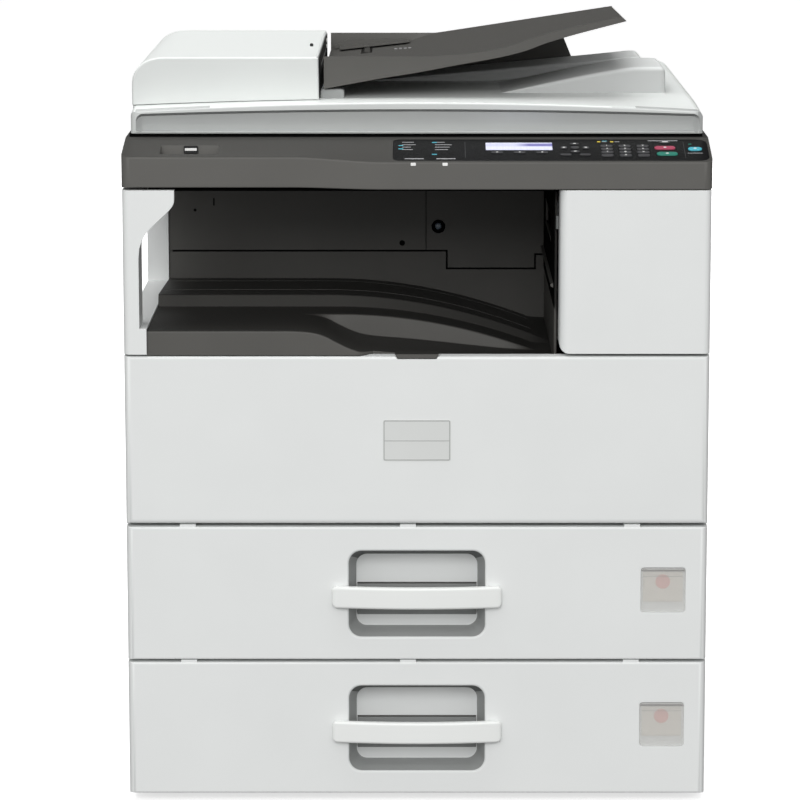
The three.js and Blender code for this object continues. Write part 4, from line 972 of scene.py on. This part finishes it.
# ---- front
def front_plan():
    x = HALF_WIDTH
    return fillet([(-x, PANEL_BACK), (-x, FRONT, 7), (x, FRONT, 7), (x, PANEL_BACK)], 8)


def front_cover():
    foot, top = 290.3, 461
    side = [(PANEL_BACK, foot + 3), (FRONT + 10, foot, 2), (FRONT, foot, 6)]
    side += [(FRONT, top, 3), (PANEL_BACK, top)]
    body = prism("front_cover_fine", fillet(side, 7), "x", -HALF_WIDTH, HALF_WIDTH)
    keep_inside(body, prism("plan", front_plan(), "z", 280, 470))
    notch = fillet([(-20, 458.4, 2), (20, 458.4, 2), (24, 470), (-24, 470)], 4)
    notch = prism("notch", notch, "y", FRONT - 1, PANEL_BACK + 1)
    inside = block("inside", -HALF_WIDTH + 3, HALF_WIDTH - 3, FRONT + 3, PANEL_BACK + 1, 298.3, 458)
    carve(body, notch, inside)
    for s in (-1, 1):
        merge(body, block("catch", s * 200 - 7, s * 200 + 7, FRONT + 1, PANEL_BACK + 6, 435, 441))
    finish(body, LIGHT, "front_cover", "light_casing", 0.5, 2, 50, ["front_cover"])
    tab = fillet([(-19.2, 459.2, 1.5), (19.2, 459.2, 1.5), (22, 463.4), (-22, 463.4)], 4)
    front_piece("output_tray_tab", tab, FRONT + 0.8, PANEL_BACK + 2, OUTPUT, *IN_BAY, 0.3)
    plate = rounded_rect(-34, 34, 355, 397, 2, 4)
    front_piece("badge_plate", plate, FRONT - 0.35, FRONT + 0.3, BADGE, "front_cover", "light_casing", 0.15)
    back = FRONT - 0.3
    frame_line = prism("badge_frame", rounded_rect(-33.4, 33.4, 355.6, 396.4, 1.6, 4), "y", back - 0.2, back)
    hole = rounded_rect(-32.4, 32.4, 356.6, 395.4, 1.0, 4)
    carve(frame_line, prism("hole", hole, "y", FRONT - 1, FRONT + 1))
    divider = block("badge_divider", -32.6, 32.6, back - 0.2, back, 375.2, 376)
    for line in (frame_line, divider):
        finish(line, LINE, "front_cover", "tray_plastic", 0.05, 1)


def grip_rings(base, inset=0.0):
    """The grip recess: a mouth with a small round-over, and a drafted cup to a floor with rounded corners."""
    rings = []
    mouth = ((-0.24, -1), (-0.24, 0), (-0.12, 0.25), (-0.03, 0.9))
    for share, deep in (*mouth, (0.02, 2), (0.86, 32.2), (0.92, 33.6), (1.04, 34)):
        # The mouth's round-over has the same width all round; the draft differs.
        side, low_draft, high_draft = (8, 8, 8) if share < 0 else (8, 5, 11)
        x = 69 - share * side + inset
        low = base + 23.4 + share * low_draft - inset
        high = base + 112.6 - share * high_draft + inset
        outline = rounded_rect(-x, x, low, high, 13 - share * 2.4, 8)
        rings.append([(u, FRONT + deep + inset, v) for u, v in outline])
    return rings


def drawer(number):
    base = DRAWER_BASES[number - 1]
    top = base + DRAWER_HEIGHT
    name = f"drawer_{number}"
    side = fillet([(PANEL_BACK, base), (FRONT, base, 2.2), (FRONT, top, 2.2), (PANEL_BACK, top)], 5)
    body = prism(name + "_front_fine", side, "x", -HALF_WIDTH, HALF_WIDTH)
    keep_inside(body, prism("plan", front_plan(), "z", base - 5, top + 5))
    carve(body, block("hollow", -290, 290, FRONT + 5, PANEL_BACK + 1, base + 3, top - 3))
    merge(body, block("surround", -90, 90, FRONT + 1, PANEL_BACK, base + 1, top - 1))
    cup = loft("cup", grip_rings(base, 3))
    keep_inside(cup, block("behind", -120, 120, PANEL_BACK - 6, PANEL_BACK + 30, base, top))
    merge(body, cup, block("pane_back", 222, 275.5, FRONT + 1, FRONT + 9, base + 45, base + 99.5))
    window = rounded_rect(226, 271.5, base + 49, base + 95.5, 3.4, 5)
    carve(body, loft("grip", grip_rings(base)), prism("window", window, "y", FRONT - 1, FRONT + 3.2))
    for x in (-231, -9, 217):
        merge(body, block("spacer", x - 8, x + 8, FRONT + 1, FRONT + 12, top - 1, top + 2.4))
    finish(body, LIGHT, name, "light_casing", 0.45, 2, 50, [name + "_front"])
    body.data.materials.append(PAINTED_SHADE_GREY)
    body.data.materials.append(GRIP_CEILING_SHADE)
    # Painted shade: the grip recess's faces take a darker grey, its downward-facing ceiling a darker one
    # still.
    for face in body.data.polygons:
        x, y, z = (c / MM for c in face.center)
        if abs(x) < 70 and FRONT + 1.8 < y < FRONT + 33.8 and base + 22 < z < base + 114:
            face.material_index = 2 if face.normal.z < -0.5 else 1

    # A step across the back of the recess, with a dark joint above it.
    wall, step_top = FRONT + 34.6, base + 71.6
    section = [(wall, base + 38), (FRONT + 31.4, base + 44, 2)]
    section += [(FRONT + 31.8, step_top - 0.2, 0.6), (wall, step_top)]
    step = prism(name + "_grip_step", fillet(section, 4), "x", -60.8, 60.8)
    joint = block(name + "_grip_joint", -60.8, 60.8, FRONT + 33.4, FRONT + 34.4, step_top, step_top + 1.4)
    finish(joint, BAY, name, "bay_plastic", 0.1, 1)
    # Painted shade: the step takes a darker grey than the drawer front.
    finish(step, GRIP_STEP_SHADE, name, "light_casing", 0.4, 2)
    handle_bar(name, base)
    size_window(name, base + 49)


def handle_bar(name, base):
    """The handle bar: bowed forward, soft-edged, with rounded ends, on two seats."""
    low, high, half, end = base + 54.6, base + 76.8, 85.5, 4.5
    middle, half_high = (low + high) / 2, (high - low) / 2
    rings = []
    ends = [1 - math.cos(math.radians(a)) for a in range(0, 91, 15)]
    tips = {s * (half - end + end * (1 - e)) for s in (-1, 1) for e in ends}
    for x in sorted(tips | set(spread(-76, 76, 31))):
        into = max(0, abs(x) - (half - end)) / end
        squeeze = math.sqrt(max(0, 1 - into**2))
        u = x / half
        face = FRONT - 6.5 - 7.5 * (1 - u * u)
        back = min(FRONT - 0.4, face + 7.5 + 2.2 * max(0, abs(u) - 0.84) / 0.16)
        tall = half_high - end * (1 - squeeze)
        face += 1.6 * (1 - squeeze)
        foot, top = middle - tall, middle + tall
        section = [(face, foot, 2.6), (back, foot, 1.6), (back, top, 1.6), (face, top, 2.6)]
        rings.append([(x, y, z) for y, z in fillet(section, 5)])
    finish(loft(name + "_handle_fine", rings), HANDLE, name, "light_casing", replaces=[name + "_handle"])
    for side, x in (("left", -78), ("right", 78)):
        outline = rounded_rect(x - 6, x + 6, base + 57.8, base + 72.8, 3, 5)
        seat = f"{name}_handle_seat_{side}"
        front_piece(seat, outline, FRONT - 4, FRONT + 0.5, LIGHT, name, "light_casing", 0.4)


def size_window(name, z):
    """A card behind a clear pane, with its foot at z."""
    outline = rounded_rect(226.5, 271, z + 0.5, z + 46, 3, 5)
    pane = prism(name + "_size_pane", outline, "y", FRONT + 0.2, FRONT + 0.9)
    finish(pane, CLEAR, name, "clear_plastic", 0.25, 2, replaces=[name + "_size_window"])
    card = rounded_rect(228.6, 268.6, z + 10.5, z + 41.5, 0.8, 3)
    front_piece(name + "_size_card", card, FRONT + 2.2, FRONT + 2.9, CARD, name, "white_parts", 0.15, 1)
    tab = rounded_rect(228.9, 268.3, z + 36.6, z + 37.2, 0.2, 2)
    front_piece(name + "_size_card_tab", tab, FRONT + 1.9, FRONT + 2.3, LINE, name, "tray_plastic")
    spot = [(0, 7.4), (-0.3, 7.4), (-0.35, 7.0)]
    disc = turned(name + "_size_dot", spot, (248.5, FRONT + 2.25, z + 31.5), "y", 36)
    finish(disc, PINK, name, "white_parts")
    rail = rounded_rect(227, 270.4, z + 42.2, z + 43.6, 0.3, 2)
    front_piece(name + "_size_rail", rail, FRONT + 1.4, FRONT + 3.0, BAY, name, "bay_plastic", 0.1, 1)


# ---- small parts at the back and the sides
def screws():
    profile = [(0, 3.6), (1.0, 3.6), (1.7, 2.6), (1.9, 1.0)]
    cross = ((2.2, 0.45), (0.45, 2.2))  # half the width and height of its two slots
    for i, (x, z) in enumerate([(x, z) for x in (-278, 0, 278) for z in (162, 300, 452, 606)]):
        head = turned(f"rear_screw_{i + 1}", profile, (x, 286, z), "y", 20)
        carve(head, *(block("cross", x - a, x + a, 287.1, 289, z - b, z + b) for a, b in cross))
        finish(head, METAL, "chassis", "frame_steel", 0.1, 1)


def inlet_pins():
    for i, (x, z) in enumerate(((193, 183), (207, 183), (200, 188))):
        outline = rounded_rect(x - 1, x + 1, z - 2.2, z + 2.2, 0.4, 3)
        front_piece(f"inlet_pin_{i + 1}", outline, 269.5, 284, METAL, "chassis", "frame_steel", 0.2)


scanner_housing()
usb_socket()
panel_details()
number_keys()
lid()
document_stops()
feeder_entry()
lid_gap_shade_strip()
feeder_cover()
document_tray()
output_tray()
bay_details()
front_cover()
drawer(1)
drawer(2)
screws()
inlet_pins()


# ---- floor, light
floor_mesh = bpy.data.meshes.new("floor")
floor_mesh.from_pydata([(-20, -12, 0), (20, -12, 0), (20, 40, 0), (-20, 40, 0)], [], [(0, 1, 2, 3)])
floor = bpy.data.objects.new("floor", floor_mesh)
scene.collection.objects.link(floor)
sweep = moulded("studio_floor", (248, 248, 248), 0.9, 0.004, 4.0, 0.02, 0.1)
sweep_shader = sweep.node_tree.nodes["Principled BSDF"]
sweep_shader.inputs["Emission Color"].default_value = (1, 1, 1, 1)
sweep_shader.inputs["Emission Strength"].default_value = 0.6
floor.data.materials.append(sweep)
floor.visible_diffuse = False
floor.visible_glossy = False
floor.visible_shadow = False


WORLD_FRONT, WORLD_BACK, WORLD_BELOW = 1.1, 0.1, 0.25


def studio_world():
    """A soft studio: bright in front of the object, dim at its sides, dark behind and below."""
    world = bpy.data.worlds.new("studio")
    scene.world = world
    world.use_nodes = True
    tree = world.node_tree
    background = tree.nodes["Background"]
    direction = tree.nodes.new("ShaderNodeTexCoord")
    parts = tree.nodes.new("ShaderNodeSeparateXYZ")
    tree.links.new(direction.outputs["Generated"], parts.inputs[0])
    product = tree.nodes.new("ShaderNodeMath")
    product.operation = "MULTIPLY"
    # Along Y from back to front, and along Z from below to level.
    ramps = ((1, 0.45, -1.0, WORLD_BACK, WORLD_FRONT), (2, -0.35, 0.25, WORLD_BELOW, 1.0))
    for i, (axis, *ends) in enumerate(ramps):
        ramp = tree.nodes.new("ShaderNodeMapRange")
        ramp.interpolation_type = "SMOOTHSTEP"
        for key, value in zip(("From Min", "From Max", "To Min", "To Max"), ends):
            ramp.inputs[key].default_value = value
        tree.links.new(parts.outputs[axis], ramp.inputs["Value"])
        tree.links.new(ramp.outputs[0], product.inputs[i])
    tree.links.new(product.outputs[0], background.inputs["Strength"])
    background.inputs["Color"].default_value = (1, 1, 1, 1)


studio_world()


def softbox(name, place, target, size, power, mirrored=True):
    data = bpy.data.lights.new(name, "AREA")
    data.shape = "RECTANGLE"
    data.size, data.size_y = size
    data.energy = power
    light = bpy.data.objects.new(name, data)
    light.location = place
    light.rotation_euler = (Vector(target) - Vector(place)).to_track_quat("-Z", "Y").to_euler()
    light.visible_glossy = mirrored
    scene.collection.objects.link(light)


softbox("key_light", (-0.6, -6.0, 3.0), (0, 0, 0.4), (3.0, 2.2), 128)
softbox("top_light", (-0.5, 0.0, 3.2), (0, 0, 0.7), (2.2, 2.2), 56, mirrored=False)
softbox("back_light", (0.8, 5.5, 1.6), (0, 0, 0.4), (2.6, 2.0), 70, mirrored=False)
